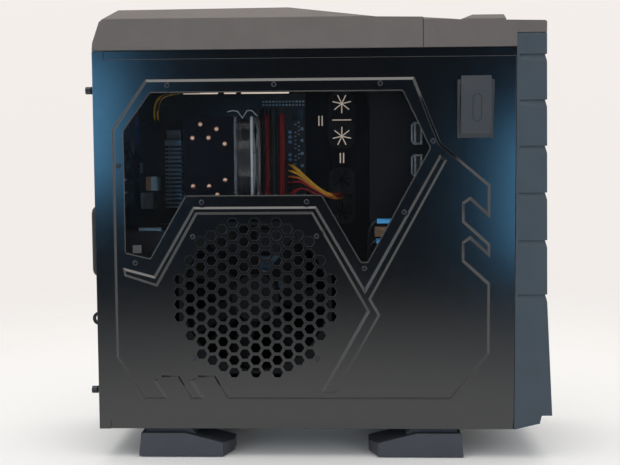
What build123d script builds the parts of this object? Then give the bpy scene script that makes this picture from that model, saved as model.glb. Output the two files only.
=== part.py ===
from build123d import *
import math
import os

# Desktop computer tower in millimetres: +Z up, floor at Z 0, front towards -Y, window side towards -X.
# Outlines on the sides are written as (a, b): a forward from the rear edge, b up from the panel's lower edge.

# Body and sheet metal
BODY_W = 222.0
PANEL_L = 546.0
PANEL_H = 496.0
FOOT_H = 39.0
SHEET = 1.0
FLANGE = 12.0
PANEL_GAP = 0.4
SEAM = 0.8
CABLE_SPACE = 28.0

# Pressed side panel
FIELD_H = 3.0
RIDGE_H = 2.5
PRESS_TAPER = 50.0
STRIP_W = 11.0
STRIP_D = 2.0
STRIP_REAR = 15.0
REAR_FLANGE = 15.0
FIELD_REAR = 24.5
FIELD_LOW = 40.0
FIELD_FRONT = PANEL_L - 32.0
FIELD_TOP = PANEL_H - 37.0
FRONT_HOOKS = [277.0, 226.0]
LOW_HOOKS = [170.5, 122.5]
RIDGE_OUTLINE = [
    (36, 215), (77, 204), (129.5, 294), (289.5, 294), (352, 186), (449, 360), (458, 352.5),
    (360, 173), (372, 152), (314, 49), (294, 49), (355, 157), (283.5, 284), (134.5, 284), (81, 190),
    (38, 204),
]
WINDOW_OUTLINE = [
    (75.5, 442), (401.5, 442), (437, 368), (356, 220.5), (347, 220.5),
    (296.5, 308), (120, 308), (72.5, 226), (39.5, 234), (39.5, 393),
]
WINDOW_LAP = 13.0
WINDOW_T = 3.0
WINDOW_SCREWS = [
    (98, 451), (236, 451), (372.5, 451), (440, 377), (403, 286),
    (351.5, 213), (277, 300), (140.5, 300), (52.5, 221), (32, 348),
]
SCREW_R = 1.5
SCREW_GAP = 0.1
SCREW_HEAD_R = 3.6
SCREW_HEAD_H = 2.0
SCREW_END = 1.0

# Hexagon grille over the side fan
GRILLE_A = 209.0
GRILLE_B = 174.5
GRILLE_R = 104.0
HEX_PITCH = 16.4
HEX_SIZE = 12.4

# Thumbscrews on the panels' rear flanges
THUMB_PROUD = 10.5
THUMB_R = 4.8
THUMB_COLLAR_R = 3.4
THUMB_COLLAR = 3.5
THUMB_SHANK_R = 1.7
THUMB_REACH = 6.0
THUMB_INSET = 8.5
THUMB_B = [51.0, PANEL_H - 50.0]
THUMB_GAP = 0.3

# Panel latch
LATCH_A = PANEL_L - 52.0
LATCH_B = PANEL_H - 78.1
LATCH_W = 46.0
LATCH_H = 74.3
LATCH_BASE_T = 3.0
LATCH_OUT = 13.0
LATCH_CHEEK = 3.2
LATCH_GAP = 0.5
LATCH_FACET = 14.7
LATCH_TIP_OUT = 9.2
LATCH_TIP_UP = 8.7
LATCH_TIP_T = 1.2
LATCH_RISE = 5.0
LATCH_PIN_R = 1.5
LATCH_PIN_OUT = 6.5
LATCH_PIN_DOWN = 4.5
LATCH_KNUCKLE_R = 3.0
LATCH_SCOOP = 15.0
LATCH_LIP_T = 4.5
LATCH_PILL_H = 35.0
LATCH_PILL_W = 11.7
LATCH_LINE = 0.8
PIN_GAP = 0.05

# Fans: 200 mm class on the panel, roof and front, 120 mm class on the rear and the cooler
BIG_FAN = 200.0
BIG_FAN_T = 30.0
BIG_FAN_BORE = 95.0
BIG_FAN_PITCH = 161.5
BIG_FAN_HUB = 31.0
SMALL_FAN = 120.0
SMALL_FAN_T = 25.0
SMALL_FAN_BORE = 57.0
SMALL_FAN_PITCH = 105.0
SMALL_FAN_HUB = 20.0
FAN_BLADES = 7
FAN_FLANGE = 4.0
FAN_WALL = 2.0
FAN_STRUT_T = 4.0
FAN_STRUT_W = 7.0
FAN_HOLE_R = SCREW_R + SCREW_GAP
FAN_SHAFT_R = 2.0
BLADE_T = 1.6
BLADE_PITCH = 34.0
BLADE_GAP = 1.5
FAN_FACE_GAP = 2.0

# Top cover and front console
COVER_WALL = 3.0
COVER_H = 56.0
COVER_SIDE_H = 40.0
COVER_BEVEL_W = 25.0
COVER_SPLIT = PANEL_L - 118.0
CONSOLE_H = 38.5
CONSOLE_FRONT = 584.5
CONSOLE_BUMP_H = 41.5
BEZEL_TOP = 513.5
TOP_FAN_A = 143.0
TOP_VENT_L = 200.0
TOP_VENT_W = 162.0
VENT_LEDGE = 4.0
MESH_T = 1.5
MESH_GAP = 0.3
MESH_PITCH = 12.0
MESH_SLOT = 8.0
MESH_RIB = 6.0
BUTTON_L = 20.0
BUTTON_W = 26.0
RESET_W = 12.0
BUTTON_TRAVEL = 2.0
BUTTON_RISE = BUTTON_TRAVEL + 0.5
BUTTON_GAP = 0.4
BUTTON_RIM = 2.0
USB_W = 14.5
USB_H = 7.0
USB_DEEP = 14.0
USB_WALL = 0.9
JACK_R = 4.5

# Front bezel, drive bays and front mesh
BEZEL_WALL = 3.5
BEZEL_FRONT = 584.5
BEZEL_LEAN = 3.5
PLATE_STEP = 2.5
PLATE_RAMP = 9.0
BEZEL_NOTCHES = [487.0, 429.0, 370.0, 310.0, 248.5, 178.0]
NOTCH_L = 34.0
NOTCH_REAR_H = 6.0
NOTCH_FRONT_H = 12.5
NOTCH_D = 2.2
LIP_A = 596.0
LIP_B = 18.5
BAYS = 6
BAY_W = 149.0
BAY_PITCH = 42.3
BAY_LOW = 240.0
BAY_SLOT_H = 6.0
BAY_SLOT_INSET = 10.0
COVER_T = 3.0
COVER_SET = 2.0
COVER_GAP = 0.5
FRONT_VENT_W = 184.0
FRONT_VENT_LOW = 28.0
FRONT_VENT_TOP = 226.0
FRONT_FAN_B = 126.0
CAGE_REAR = 360.0
LOCK_A = 421.5
LOCK_W = 14.5
LOCK_H = 29.0
LOCK_T = 6.0
LOCK_RIM = 1.6
LOCK_DEEP = 4.0
CAGE_SLOT_L = 10.0
CAGE_SLOT_H = 6.0
CAGE_WINDOW_L = 40.0
CAGE_WINDOW_H = 10.0
CAGE_WINDOW_A = LOCK_A + 70.0
HDD_W = 101.6
HDD_L = 147.0
HDD_T = 26.0
HDD_PITCH = 38.0
HDD_FRONT = 507.0
HDD_GAP = 2.5
HDD_RAIL = 4.0

# Feet
FOOT_A = 51.5
FOOT_L = 124.0
FOOT_FLAT = 62.0
FOOT_FALL = 16.0
FOOT_NOSE_L = 12.0
FOOT_NOSE_W = 30.0
FOOT_W = 56.0
FOOT_INSET = 2.0
FOOT_TOP = -6.5
FOOT_BLOCK_INSET = 10.0
PAD_T = 2.0
PAD_L = 84.0
PAD_W = 34.0

# Slots in the sheets over the fans and under the power supply
VENT_PITCH = 15.0
VENT_WIDTH = 8.0
VENT_INSET = 6.0
PSU_VENT_R = 63.0

# Rear wall fittings
SLOT_PITCH = 20.32
SLOTS = 7
SLOT_TOP = 257.0
SLOT_LEN = 106.0
SLOT_H = 13.0
COVER_STRIP_H = 18.4
COVER_STRIP_L = 119.0
COVER_STRIP_T = 0.9
COVER_VENTS = 9
COVER_VENT_FIRST = 12.0
COVER_VENT_PITCH = 10.0
COVER_VENT_L = 6.0
COVER_VENT_H = 8.0
IO_W = 45.0
IO_H = 159.0
IO_LOW = 286.0
REAR_FAN_B = 400.0
REAR_FAN_INSET = 10.0
GUARD_LOW = 201.0
GUARD_TOP = 294.0
GUARD_W = 34.0
GUARD_PROUD = 11.5
GUARD_INSET = 17.0
LOOP_B = 145.0
LOOP_R = 9.0
LOOP_HOLE_R = 5.0
LOOP_PROUD = 11.8
LOOP_T = 3.0
LOOP_FOOT_T = 1.5
LOOP_FOOT_W = 14.0

# Power supply
PSU_W = 150.0
PSU_H = 86.0
PSU_L = 160.0
PSU_LIP = 4.0
INLET_W = 28.0
INLET_H = 20.0
INLET_DEEP = 22.0
INLET_WALL = 2.0
PIN_SET = 5.0
ROCKER_W = 13.0
ROCKER_H = 20.0
ROCKER_DEEP = 9.0
ROCKER_TILT = 10.0
ROCKER_GAP = 0.5

# Motherboard and what sits on it
STANDOFF_H = 6.5
STANDOFF_R = 3.0
PCB_T = 1.6
BOARD_REAR = 5.0
BOARD_L = 264.0
BOARD_LOW = 147.0
BOARD_H = 305.0
GROMMET_A = 322.5
GROMMET_B = [413.0, 301.0]
GROMMET_W = 33.0
GROMMET_H = 78.0
GROMMET_LIP = 3.0
GROMMET_LIP_T = 2.0
GROMMET_EDGE = 2.0
STAR_ARMS = 7
STAR_L = 14.0
STAR_B = 24.0
SLIT_W = 1.6
TIE_SLOTS = [(291.0, 412.0), (GROMMET_A, 357.0)]
TIE_W = 1.8
TIE_H = 15.0
TIE_STEP = 2.4
CPU_A = 147.0
CPU_B = 352.0
SOCKET_W = 48.0
SOCKET_T = 8.0
LID_W = 36.0
LID_T = 3.0
COOLER_BASE_W = 52.0
COOLER_BASE_T = 12.0
COOLER_TOP_DEPTH = 26.0
FIN_L = 67.0
FIN_H = 120.0
FIN_T = 1.2
FIN_PITCH = 4.6
FIN_COUNT = 24
FIN_DEEP = 6.0
PIPE_R = 3.5
PIPE_GAP = 0.05
PIPE_TIP = 4.0
PIPE_BEND = 9.0
PIPE_STEP = 10.7
PIPE_SPANS = [32.0, 50.0, 32.0, 43.5, 24.0]
DIMM_A = [202.0, 213.0, 224.0, 235.0]
DIMM_L = 138.0
DIMM_W = 6.6
DIMM_SLOT_H = 9.0
DIMM_H = 31.0
DIMM_T = 3.0
PCIE_L = 89.0
PCIE_W = 7.6
PCIE_H = 11.0
PCIE_A = 52.0
CARD_L = 250.0
CARD_H = 100.0
CARD_T = 34.0
CARD_EDGE = 7.0
CARD_GAP = 0.15
PLUG_A = 247.0
PLUG_B = 326.0
PLUG_L = 52.0
PLUG_W = 10.0
PLUG_H = 19.0
CABLE_R = 5.0
CABLE_OUT = 18.0
CABLE_BEND = 16.0
CABLE_BEHIND = 9.0

# Places that follow from the sizes above. The box round the whole object is centred on the origin.
X_MID = (LATCH_OUT - FIELD_H) / 2
X_LEFT = X_MID - BODY_W / 2
X_RIGHT = X_MID + BODY_W / 2
Y_REAR = (LIP_A - THUMB_PROUD) / 2
PANEL_SEAT = STRIP_D + SHEET + PANEL_GAP
CH_L = X_LEFT + PANEL_SEAT
CH_R = X_RIGHT - PANEL_SEAT
RW_OUT = Y_REAR - SHEET - PANEL_GAP
RW_IN = RW_OUT - SHEET
FRONT_SEAM = PANEL_L + SEAM
FW_OUT = Y_REAR - FRONT_SEAM
FW_IN = FW_OUT + SHEET
FLOOR_TOP = FOOT_H + SHEET
ROOF_B = PANEL_H + SEAM
ROOF_TOP = FOOT_H + ROOF_B
ROOF_IN = ROOF_TOP - SHEET
FIELD_OUT = X_LEFT - FIELD_H
FIELD_IN = FIELD_OUT + SHEET
TRAY_BACK = X_RIGHT - CABLE_SPACE
TRAY_FACE = TRAY_BACK - SHEET
BOARD_BACK = TRAY_FACE - STANDOFF_H
BOARD_FACE = BOARD_BACK - PCB_T
TRAY_FRONT_A = PANEL_L - BIG_FAN_T - FLANGE
BAY_TOP = BAY_LOW + BAYS * BAY_PITCH
COOLER_TOP = X_LEFT + COOLER_TOP_DEPTH
BASE_TOP = BOARD_FACE - SOCKET_T - COOLER_BASE_T
PIPE_RUN = min(PIPE_SPANS) - PIPE_BEND
REAR_FAN_X = CH_L + REAR_FAN_INSET + SMALL_FAN / 2
FEET_MID = PANEL_L / 2 - 6.5


def y_at(a):
    return Y_REAR - a


def z_at(b):
    return FOOT_H + b


def block(x0, x1, y0, y1, z0, z1):
    return Pos((x0 + x1) / 2, (y0 + y1) / 2, (z0 + z1) / 2) * Box(x1 - x0, y1 - y0, z1 - z0)


def side_block(a0, a1, b0, b1, x0, x1):
    return block(x0, x1, y_at(a1), y_at(a0), z_at(b0), z_at(b1))


def face(points):
    return make_face(Polyline(*points, close=True))


def side_plane(x):
    """Plane whose sketch is in (a, b), facing the window side."""
    return Plane(origin=(x, Y_REAR, FOOT_H), x_dir=(0, -1, 0), z_dir=(-1, 0, 0))


def slab(sketch, x0, x1):
    """Solid between two X planes with its outline in (a, b)."""
    return extrude(side_plane(x1) * sketch, amount=x1 - x0)


def across(sketch, a0, a1, x=X_LEFT):
    """Solid between two places along the case, its section in (distance out to the left of x, b)."""
    plane = Plane(origin=(x, y_at(a1), FOOT_H), x_dir=(-1, 0, 0), z_dir=(0, 1, 0))
    return extrude(plane * sketch, amount=a1 - a0)


def rod(start, end, radius):
    axis = Vector(*end) - Vector(*start)
    centred = (Align.CENTER, Align.CENTER, Align.MIN)
    return Plane(origin=start, z_dir=axis).location * Cylinder(radius, axis.length, align=centred)


def rod_x(a, b, x0, x1, radius):
    return rod((x0, y_at(a), z_at(b)), (x1, y_at(a), z_at(b)), radius)


def group(solids):
    return Compound(children=list(solids))


def to_right(piece):
    """Mirror a left-hand piece across the middle of the case."""
    return mirror(piece, about=Plane(origin=(X_MID, 0, 0), z_dir=(1, 0, 0)))


# Side panels


def field_outline():
    """Raised field with two hooked notches in its front edge and two in its lower edge."""
    points = [(69.5, FIELD_TOP), (416, FIELD_TOP), (450, 374.5), (FIELD_FRONT, 320.5)]
    for lip in FRONT_HOOKS:
        points += [
            (FIELD_FRONT, lip), (FIELD_FRONT - 26, lip + 24), (FIELD_FRONT - 33, lip + 19),
            (FIELD_FRONT - 33, lip - 3), (FIELD_FRONT, lip - 33),
        ]
    points += [(FIELD_FRONT, 100), (FIELD_FRONT - 51, FIELD_LOW)]
    for lip in LOW_HOOKS:
        points += [
            (lip, FIELD_LOW), (lip - 17, FIELD_LOW + 29), (lip - 38, FIELD_LOW + 29),
            (lip - 45, FIELD_LOW + 24.5), (lip - 29.5, FIELD_LOW),
        ]
    points += [(60.5, FIELD_LOW), (FIELD_REAR, 96), (FIELD_REAR, 395)]
    return face(points)


def pressed(sheet, outline, x, height):
    """Press a field with sloping edges outwards from the sheet face at x."""
    field = extrude(side_plane(x) * outline, amount=height, taper=PRESS_TAPER)
    return sheet + field - Pos(SHEET, 0, 0) * field


def side_sheet():
    """Sheet with its raised field, stepped strips along both long edges and a rear flange."""
    sheet = side_block(0, PANEL_L, 0, PANEL_H, X_LEFT, X_LEFT + SHEET)
    sheet = pressed(sheet, field_outline(), X_LEFT, FIELD_H)
    step_in = X_LEFT + STRIP_D
    for low, top, edge in [(PANEL_H - STRIP_W, PANEL_H, PANEL_H + SHEET), (0, STRIP_W, -SHEET)]:
        wall_low = low - SHEET if edge > 0 else low
        wall_top = top if edge > 0 else top + SHEET
        sheet += side_block(STRIP_REAR - SHEET, PANEL_L, wall_low, wall_top, X_LEFT, step_in + SHEET)
        low, top = min(low, edge), max(top, edge)
        sheet -= side_block(STRIP_REAR, PANEL_L + SHEET, low, top, X_LEFT - SHEET, step_in)
    sheet += side_block(0, SHEET, 0, PANEL_H, X_LEFT, X_LEFT + REAR_FLANGE)
    for b in THUMB_B:
        hole = THUMB_SHANK_R + THUMB_GAP
        sheet -= rod(thumb_point(b, Y_REAR + SHEET), thumb_point(b, Y_REAR - 2 * SHEET), hole)
    return sheet


def thumb_point(b, y):
    return (X_LEFT + THUMB_INSET, y, z_at(b))


def thumbscrews():
    """Captive screws: knurled head, narrower collar and a shank that reaches through the rear wall."""
    screws = []
    for b in THUMB_B:
        shank = rod(thumb_point(b, RW_IN - THUMB_REACH), thumb_point(b, Y_REAR), THUMB_SHANK_R)
        collar = rod(thumb_point(b, Y_REAR), thumb_point(b, Y_REAR + THUMB_COLLAR), THUMB_COLLAR_R)
        head = rod(thumb_point(b, Y_REAR + THUMB_COLLAR), thumb_point(b, Y_REAR + THUMB_PROUD), THUMB_R)
        screws.append(shank + collar + head)
    return group(screws)


def hex_places():
    """Centres of the grille's holes: upright columns, every second one half a pitch up."""
    column = HEX_PITCH * math.sqrt(3) / 2
    reach = math.ceil(GRILLE_R / column)
    places = []
    for i in range(-reach, reach + 1):
        shift = HEX_PITCH / 2 if i % 2 else 0
        for j in range(-reach, reach + 1):
            da, db = i * column, j * HEX_PITCH + shift
            if math.hypot(da, db) <= GRILLE_R:
                places.append((GRILLE_A + da, GRILLE_B + db))
    return places


def fan_screw_places():
    half = BIG_FAN_PITCH / 2
    return [(GRILLE_A + i * half, GRILLE_B + j * half) for i in (-1, 1) for j in (-1, 1)]


def side_panel():
    panel = pressed(side_sheet(), face(RIDGE_OUTLINE), FIELD_OUT, RIDGE_H)
    out = FIELD_OUT - RIDGE_H - SHEET
    within = X_LEFT + 2 * SHEET
    hexagon = RegularPolygon(HEX_SIZE / math.sqrt(3), 6)
    cutters = [slab(Pos(a, b) * hexagon, out, within) for a, b in hex_places()]
    cutters += [rod_x(a, b, out, within, SCREW_R + SCREW_GAP) for a, b in WINDOW_SCREWS + fan_screw_places()]
    return panel - [slab(face(WINDOW_OUTLINE), out, within), latch_slot(), *cutters]


def side_window():
    """Clear sheet that laps behind the cut-out, kept inside the raised field and clear of the fan."""
    inset = FIELD_H * math.tan(math.radians(PRESS_TAPER)) + SHEET
    lapped = offset(face(WINDOW_OUTLINE), WINDOW_LAP, kind=Kind.INTERSECTION)
    outline = lapped & offset(field_outline(), -inset, kind=Kind.INTERSECTION)
    fan_room = BIG_FAN + 2 * PANEL_GAP
    outline -= Pos(GRILLE_A, GRILLE_B) * Rectangle(fan_room, fan_room)
    sheet = slab(outline, FIELD_IN, FIELD_IN + WINDOW_T)
    reach = FIELD_IN + WINDOW_T + SHEET
    return sheet - [rod_x(a, b, FIELD_OUT, reach, SCREW_R + SCREW_GAP) for a, b in WINDOW_SCREWS]


def panel_screws():
    screws = []
    for a, b in WINDOW_SCREWS + fan_screw_places():
        head = rod_x(a, b, FIELD_OUT - SCREW_HEAD_H, FIELD_OUT, SCREW_HEAD_R)
        shank = rod_x(a, b, FIELD_OUT, FIELD_IN + WINDOW_T + SCREW_END, SCREW_R)
        screws.append(head + shank)
    return group(screws)


def right_side_panel():
    return to_right(side_sheet())


def right_thumbscrews():
    return to_right(thumbscrews())


# Latch on the window panel

LATCH_TOP = LATCH_B + LATCH_H / 2
LATCH_LOW = LATCH_B - LATCH_H / 2
LATCH_PIN_B = LATCH_TOP - LATCH_PIN_DOWN
LATCH_A0 = LATCH_A - LATCH_W / 2
LATCH_A1 = LATCH_A + LATCH_W / 2
ARM_W = 12.0
ARM_T = 4.0
ARM_IN = 9.0


def latch_slot():
    """Slot through the sheet and the latch base for the paddle's catch arm."""
    drop = LATCH_PIN_OUT + ARM_IN
    return side_block(
        LATCH_A - ARM_W / 2 - 1, LATCH_A + ARM_W / 2 + 1, LATCH_PIN_B - drop, LATCH_PIN_B + ARM_T / 2 + 1,
        X_LEFT - LATCH_BASE_T - 1, X_LEFT + SHEET + 1,
    )


def latch_pin_hole(a0, a1, gap):
    x = X_LEFT - LATCH_PIN_OUT
    return rod((x, y_at(a1), z_at(LATCH_PIN_B)), (x, y_at(a0), z_at(LATCH_PIN_B)), LATCH_PIN_R + gap)


def latch_base():
    """Back plate with a finger scoop and two cheeks that hold the pin."""
    base = side_block(LATCH_A0, LATCH_A1, LATCH_LOW, LATCH_TOP, X_LEFT - LATCH_BASE_T, X_LEFT)
    cheek = face([
        (LATCH_BASE_T, LATCH_TOP), (LATCH_PIN_OUT + LATCH_KNUCKLE_R, LATCH_TOP - 1),
        (LATCH_PIN_OUT + LATCH_KNUCKLE_R, LATCH_TOP - LATCH_FACET), (LATCH_BASE_T, LATCH_LOW + LATCH_SCOOP),
    ])
    for a0 in (LATCH_A0, LATCH_A1 - LATCH_CHEEK):
        base += across(cheek, a0, a0 + LATCH_CHEEK)
    scoop = across(Pos(LATCH_BASE_T + LATCH_SCOOP / 2, LATCH_LOW) * Circle(LATCH_SCOOP / 2 + 2),
                   LATCH_A0 + LATCH_CHEEK, LATCH_A1 - LATCH_CHEEK)
    base -= scoop
    base -= latch_slot()
    return base - latch_pin_hole(LATCH_A0 - 1, LATCH_A1 + 1, PIN_GAP / 2)


def latch_paddle():
    """Lever with a lip at its bevelled top, another for the fingers below, and a catch arm behind the pin."""
    back = LATCH_BASE_T + LATCH_GAP
    low = LATCH_LOW + LATCH_RISE
    tip_b = LATCH_PIN_B + LATCH_TIP_UP
    lip = LATCH_OUT - LATCH_LIP_T
    shape = face([
        (back, LATCH_PIN_B), (back, low + LATCH_SCOOP), (lip, low + LATCH_SCOOP - (lip - back)), (lip, low),
        (LATCH_OUT - 1, low), (LATCH_OUT, low + 2), (LATCH_OUT, LATCH_TOP - LATCH_FACET),
        (LATCH_TIP_OUT + LATCH_TIP_T, tip_b), (LATCH_TIP_OUT, tip_b), (LATCH_TIP_OUT, LATCH_PIN_B),
    ])
    shape += Pos(LATCH_PIN_OUT, LATCH_PIN_B) * Circle(LATCH_KNUCKLE_R)
    a0 = LATCH_A0 + LATCH_CHEEK + LATCH_GAP
    a1 = LATCH_A1 - LATCH_CHEEK - LATCH_GAP
    paddle = across(shape, a0, a1)
    pill = SlotOverall(LATCH_PILL_H, LATCH_PILL_W, rotation=90)
    line = pill - SlotOverall(LATCH_PILL_H - 2 * LATCH_LINE, LATCH_PILL_W - 2 * LATCH_LINE, rotation=90)
    front = X_LEFT - LATCH_OUT
    paddle -= slab(Pos(LATCH_A + 1, LATCH_B + 1) * line, front - 1, front + LATCH_LINE)
    paddle += side_block(
        LATCH_A - ARM_W / 2, LATCH_A + ARM_W / 2, LATCH_PIN_B - ARM_T / 2, LATCH_PIN_B + ARM_T / 2,
        X_LEFT - LATCH_PIN_OUT, X_LEFT + ARM_IN,
    )
    return paddle - latch_pin_hole(LATCH_A0, LATCH_A1, PIN_GAP)


def latch_pin():
    return latch_pin_hole(LATCH_A0, LATCH_A1, 0)


# Fans, built on their own axis: Z 0 is the face that meets the wall, blades first, struts last


def fan_frame(size, depth, bore, pitch, hub):
    plate = extrude(RectangleRounded(size, size, size / 24), FAN_FLANGE)
    low = (Align.CENTER, Align.CENTER, Align.MIN)
    frame = plate + Pos(0, 0, depth - FAN_FLANGE) * plate + Cylinder(bore + FAN_WALL, depth, align=low)
    half = pitch / 2
    hole = Cylinder(FAN_HOLE_R, depth, align=low)
    holes = [Pos(i * half, j * half, 0) * hole for i in (-1, 1) for j in (-1, 1)]
    frame -= [Cylinder(bore, depth, align=low), *holes]
    strut_z = depth - FAN_STRUT_T / 2
    struts = Pos(0, 0, strut_z) * (
        Rot(0, 0, 45) * Box(2 * bore + FAN_WALL, FAN_STRUT_W, FAN_STRUT_T)
        + Rot(0, 0, -45) * Box(2 * bore + FAN_WALL, FAN_STRUT_W, FAN_STRUT_T)
    )
    motor = Pos(0, 0, strut_z) * Cylinder(hub, FAN_STRUT_T)
    return frame + struts + motor - Cylinder(FAN_SHAFT_R + PIN_GAP, 3 * depth)


def fan_rotor(depth, bore, hub):
    """Hub with pitched, swept blades and a shaft that turns in the frame's motor plate."""
    tip = bore - BLADE_GAP
    room = depth - FAN_STRUT_T - 2 * FAN_FACE_GAP
    root_w, tip_w = 0.42 * hub, 0.31 * tip
    root = math.sqrt(hub ** 2 - root_w ** 2) - 1
    outline = make_face([
        Line((root, -root_w), (root, root_w)),
        ThreePointArc((root, root_w), ((root + tip) / 2, root_w + 0.22 * tip_w), (tip + 4, tip_w * 1.25)),
        Line((tip + 4, tip_w * 1.25), (tip + 4, -tip_w * 0.55)),
        ThreePointArc((tip + 4, -tip_w * 0.55), ((root + tip) / 2, -root_w * 0.75), (root, -root_w)),
    ])
    blade = Rot(BLADE_PITCH, 0, 0) * Pos(0, 0, -BLADE_T / 2) * extrude(outline, BLADE_T)
    blade = blade & Cylinder(tip, room)
    low = (Align.CENTER, Align.CENTER, Align.MIN)
    rotor = Pos(0, 0, FAN_FACE_GAP) * Cylinder(hub, room, align=low)
    turn = 360 / FAN_BLADES
    middle = FAN_FACE_GAP + room / 2
    rotor += [Pos(0, 0, middle) * Rot(0, 0, turn * i) * blade for i in range(FAN_BLADES)]
    shaft_len = depth - FAN_FACE_GAP - 1
    return rotor + Pos(0, 0, FAN_FACE_GAP) * Cylinder(FAN_SHAFT_R, shaft_len, align=low)


def side_fan_place():
    origin = (FIELD_IN, y_at(GRILLE_A), z_at(GRILLE_B))
    return Plane(origin=origin, x_dir=(0, -1, 0), z_dir=(1, 0, 0)).location


def top_fan_place():
    return Plane(origin=(X_MID, y_at(TOP_FAN_A), ROOF_TOP), z_dir=(0, 0, 1)).location


def front_fan_place():
    origin = (X_MID, FW_IN, z_at(FRONT_FAN_B))
    return Plane(origin=origin, x_dir=(1, 0, 0), z_dir=(0, 1, 0)).location


def rear_fan_place():
    return Plane(origin=(REAR_FAN_X, RW_IN, z_at(REAR_FAN_B)), x_dir=(1, 0, 0), z_dir=(0, -1, 0)).location


def cooler_fan_place():
    origin = (COOLER_TOP + SMALL_FAN / 2, y_at(CPU_A + FIN_L / 2), z_at(CPU_B))
    return Plane(origin=origin, x_dir=(1, 0, 0), z_dir=(0, -1, 0)).location


def big_frame(place):
    return place * fan_frame(BIG_FAN, BIG_FAN_T, BIG_FAN_BORE, BIG_FAN_PITCH, BIG_FAN_HUB)


def big_rotor(place):
    return place * fan_rotor(BIG_FAN_T, BIG_FAN_BORE, BIG_FAN_HUB)


def small_frame(place):
    return place * fan_frame(SMALL_FAN, SMALL_FAN_T, SMALL_FAN_BORE, SMALL_FAN_PITCH, SMALL_FAN_HUB)


def small_rotor(place):
    return place * fan_rotor(SMALL_FAN_T, SMALL_FAN_BORE, SMALL_FAN_HUB)


# Chassis sheets


def chord_slots(centre, radius, pitch, width, make):
    """Parallel slots that fill a circle; make turns (middle, half length, half width) into a cutter."""
    count = int((radius - width) // pitch)
    cutters = []
    for i in range(-count, count + 1):
        half = math.sqrt(radius ** 2 - (abs(i) * pitch + width / 2) ** 2)
        cutters.append(make(centre + i * pitch, half, width / 2))
    return cutters


def chassis_floor():
    floor = block(CH_L, CH_R, FW_IN, RW_IN, FOOT_H, FLOOR_TOP)
    for x0, x1 in [(CH_L, CH_L + SHEET), (CH_R - SHEET, CH_R)]:
        floor += block(x0, x1, FW_IN, RW_IN, FOOT_H, FOOT_H + FLANGE)
    y = RW_IN - PSU_L / 2

    def slot(x, half, w):
        return block(x - w, x + w, y - half, y + half, FOOT_H - 1, FLOOR_TOP + 1)

    return floor - chord_slots(X_MID, PSU_VENT_R, VENT_PITCH, VENT_WIDTH, slot)


def chassis_roof():
    roof = block(CH_L, CH_R, FW_IN, RW_IN, ROOF_IN, ROOF_TOP)
    for x0, x1 in [(CH_L, CH_L + SHEET), (CH_R - SHEET, CH_R)]:
        roof += block(x0, x1, FW_IN, RW_IN, ROOF_TOP - FLANGE, ROOF_TOP)
    y = y_at(TOP_FAN_A)

    def slot(x, half, w):
        return block(x - w, x + w, y - half, y + half, ROOF_IN - 1, ROOF_TOP + 1)

    return roof - chord_slots(X_MID, BIG_FAN_BORE - VENT_INSET, VENT_PITCH, VENT_WIDTH, slot)


def upright_flanges(y0, y1, z0, z1):
    gap = PANEL_GAP
    left = block(CH_L, CH_L + SHEET, y0, y1, z0 + FLANGE + gap, z1)
    return [left, Pos(CH_R - CH_L - SHEET, 0, 0) * left]


def chassis_front_wall():
    """Lower front sheet behind the front mesh, slotted for the front fan."""
    wall = block(CH_L, CH_R, FW_OUT, FW_IN, FOOT_H, z_at(BAY_LOW))
    wall += upright_flanges(FW_IN, FW_IN + FLANGE, FOOT_H, z_at(BAY_LOW))

    def slot(z, half, w):
        return block(X_MID - half, X_MID + half, FW_OUT - 1, FW_IN + 1, z - w, z + w)

    return wall - chord_slots(z_at(FRONT_FAN_B), BIG_FAN_BORE - VENT_INSET, VENT_PITCH, VENT_WIDTH, slot)


def slot_middle(index):
    return SLOT_TOP - index * SLOT_PITCH


def slot_end():
    """Board end of the expansion-slot openings."""
    return BOARD_FACE - 4


def io_edges():
    return BOARD_FACE - IO_W + 1, BOARD_FACE + 1


def chassis_rear_wall():
    wall = block(CH_L, CH_R, RW_OUT - SHEET, RW_OUT, FOOT_H, ROOF_TOP)
    wall += upright_flanges(RW_IN - FLANGE, RW_IN, FOOT_H, ROOF_TOP - FLANGE - PANEL_GAP)

    def through(x0, x1, z0, z1):
        return block(x0, x1, RW_IN - 1, RW_OUT + 1, z0, z1)

    cutters = [through(*io_edges(), z_at(IO_LOW), z_at(IO_LOW + IO_H))]
    for i in range(SLOTS):
        z = z_at(slot_middle(i))
        cutters.append(through(slot_end() - SLOT_LEN, slot_end(), z - SLOT_H / 2, z + SLOT_H / 2))
    half = PSU_W / 2 - PSU_LIP
    cutters.append(through(X_MID - half, X_MID + half, FLOOR_TOP + PSU_LIP, FLOOR_TOP + PSU_H - PSU_LIP))
    cutters += chord_slots(z_at(REAR_FAN_B), SMALL_FAN_BORE - VENT_INSET, VENT_PITCH, VENT_WIDTH,
                           lambda z, half, w: through(REAR_FAN_X - half, REAR_FAN_X + half, z - w, z + w))
    notch = THUMB_SHANK_R + THUMB_GAP
    for b in THUMB_B:
        reach = X_LEFT + THUMB_INSET + notch
        left = block(X_LEFT, reach, RW_IN - THUMB_REACH - 1, RW_OUT + 1, z_at(b) - notch, z_at(b) + notch)
        cutters += [left, to_right(left)]
    return wall - cutters


def motherboard_tray():
    tray = block(TRAY_FACE, TRAY_BACK, y_at(TRAY_FRONT_A), RW_IN, FLOOR_TOP, ROOF_IN)
    for b in GROMMET_B:
        tray -= slab(Pos(GROMMET_A, b) * grommet_outline(0), TRAY_FACE - 1, TRAY_BACK + 1)
    for a, b in TIE_SLOTS:
        for side in (-TIE_STEP, TIE_STEP):
            tray -= slab(Pos(a + side, b) * Rectangle(TIE_W, TIE_H), TRAY_FACE - 1, TRAY_BACK + 1)
    return tray


def grommet_outline(grow):
    return RectangleRounded(GROMMET_W + 2 * grow, GROMMET_H + 2 * grow, GROMMET_W / 3 + grow)


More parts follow.
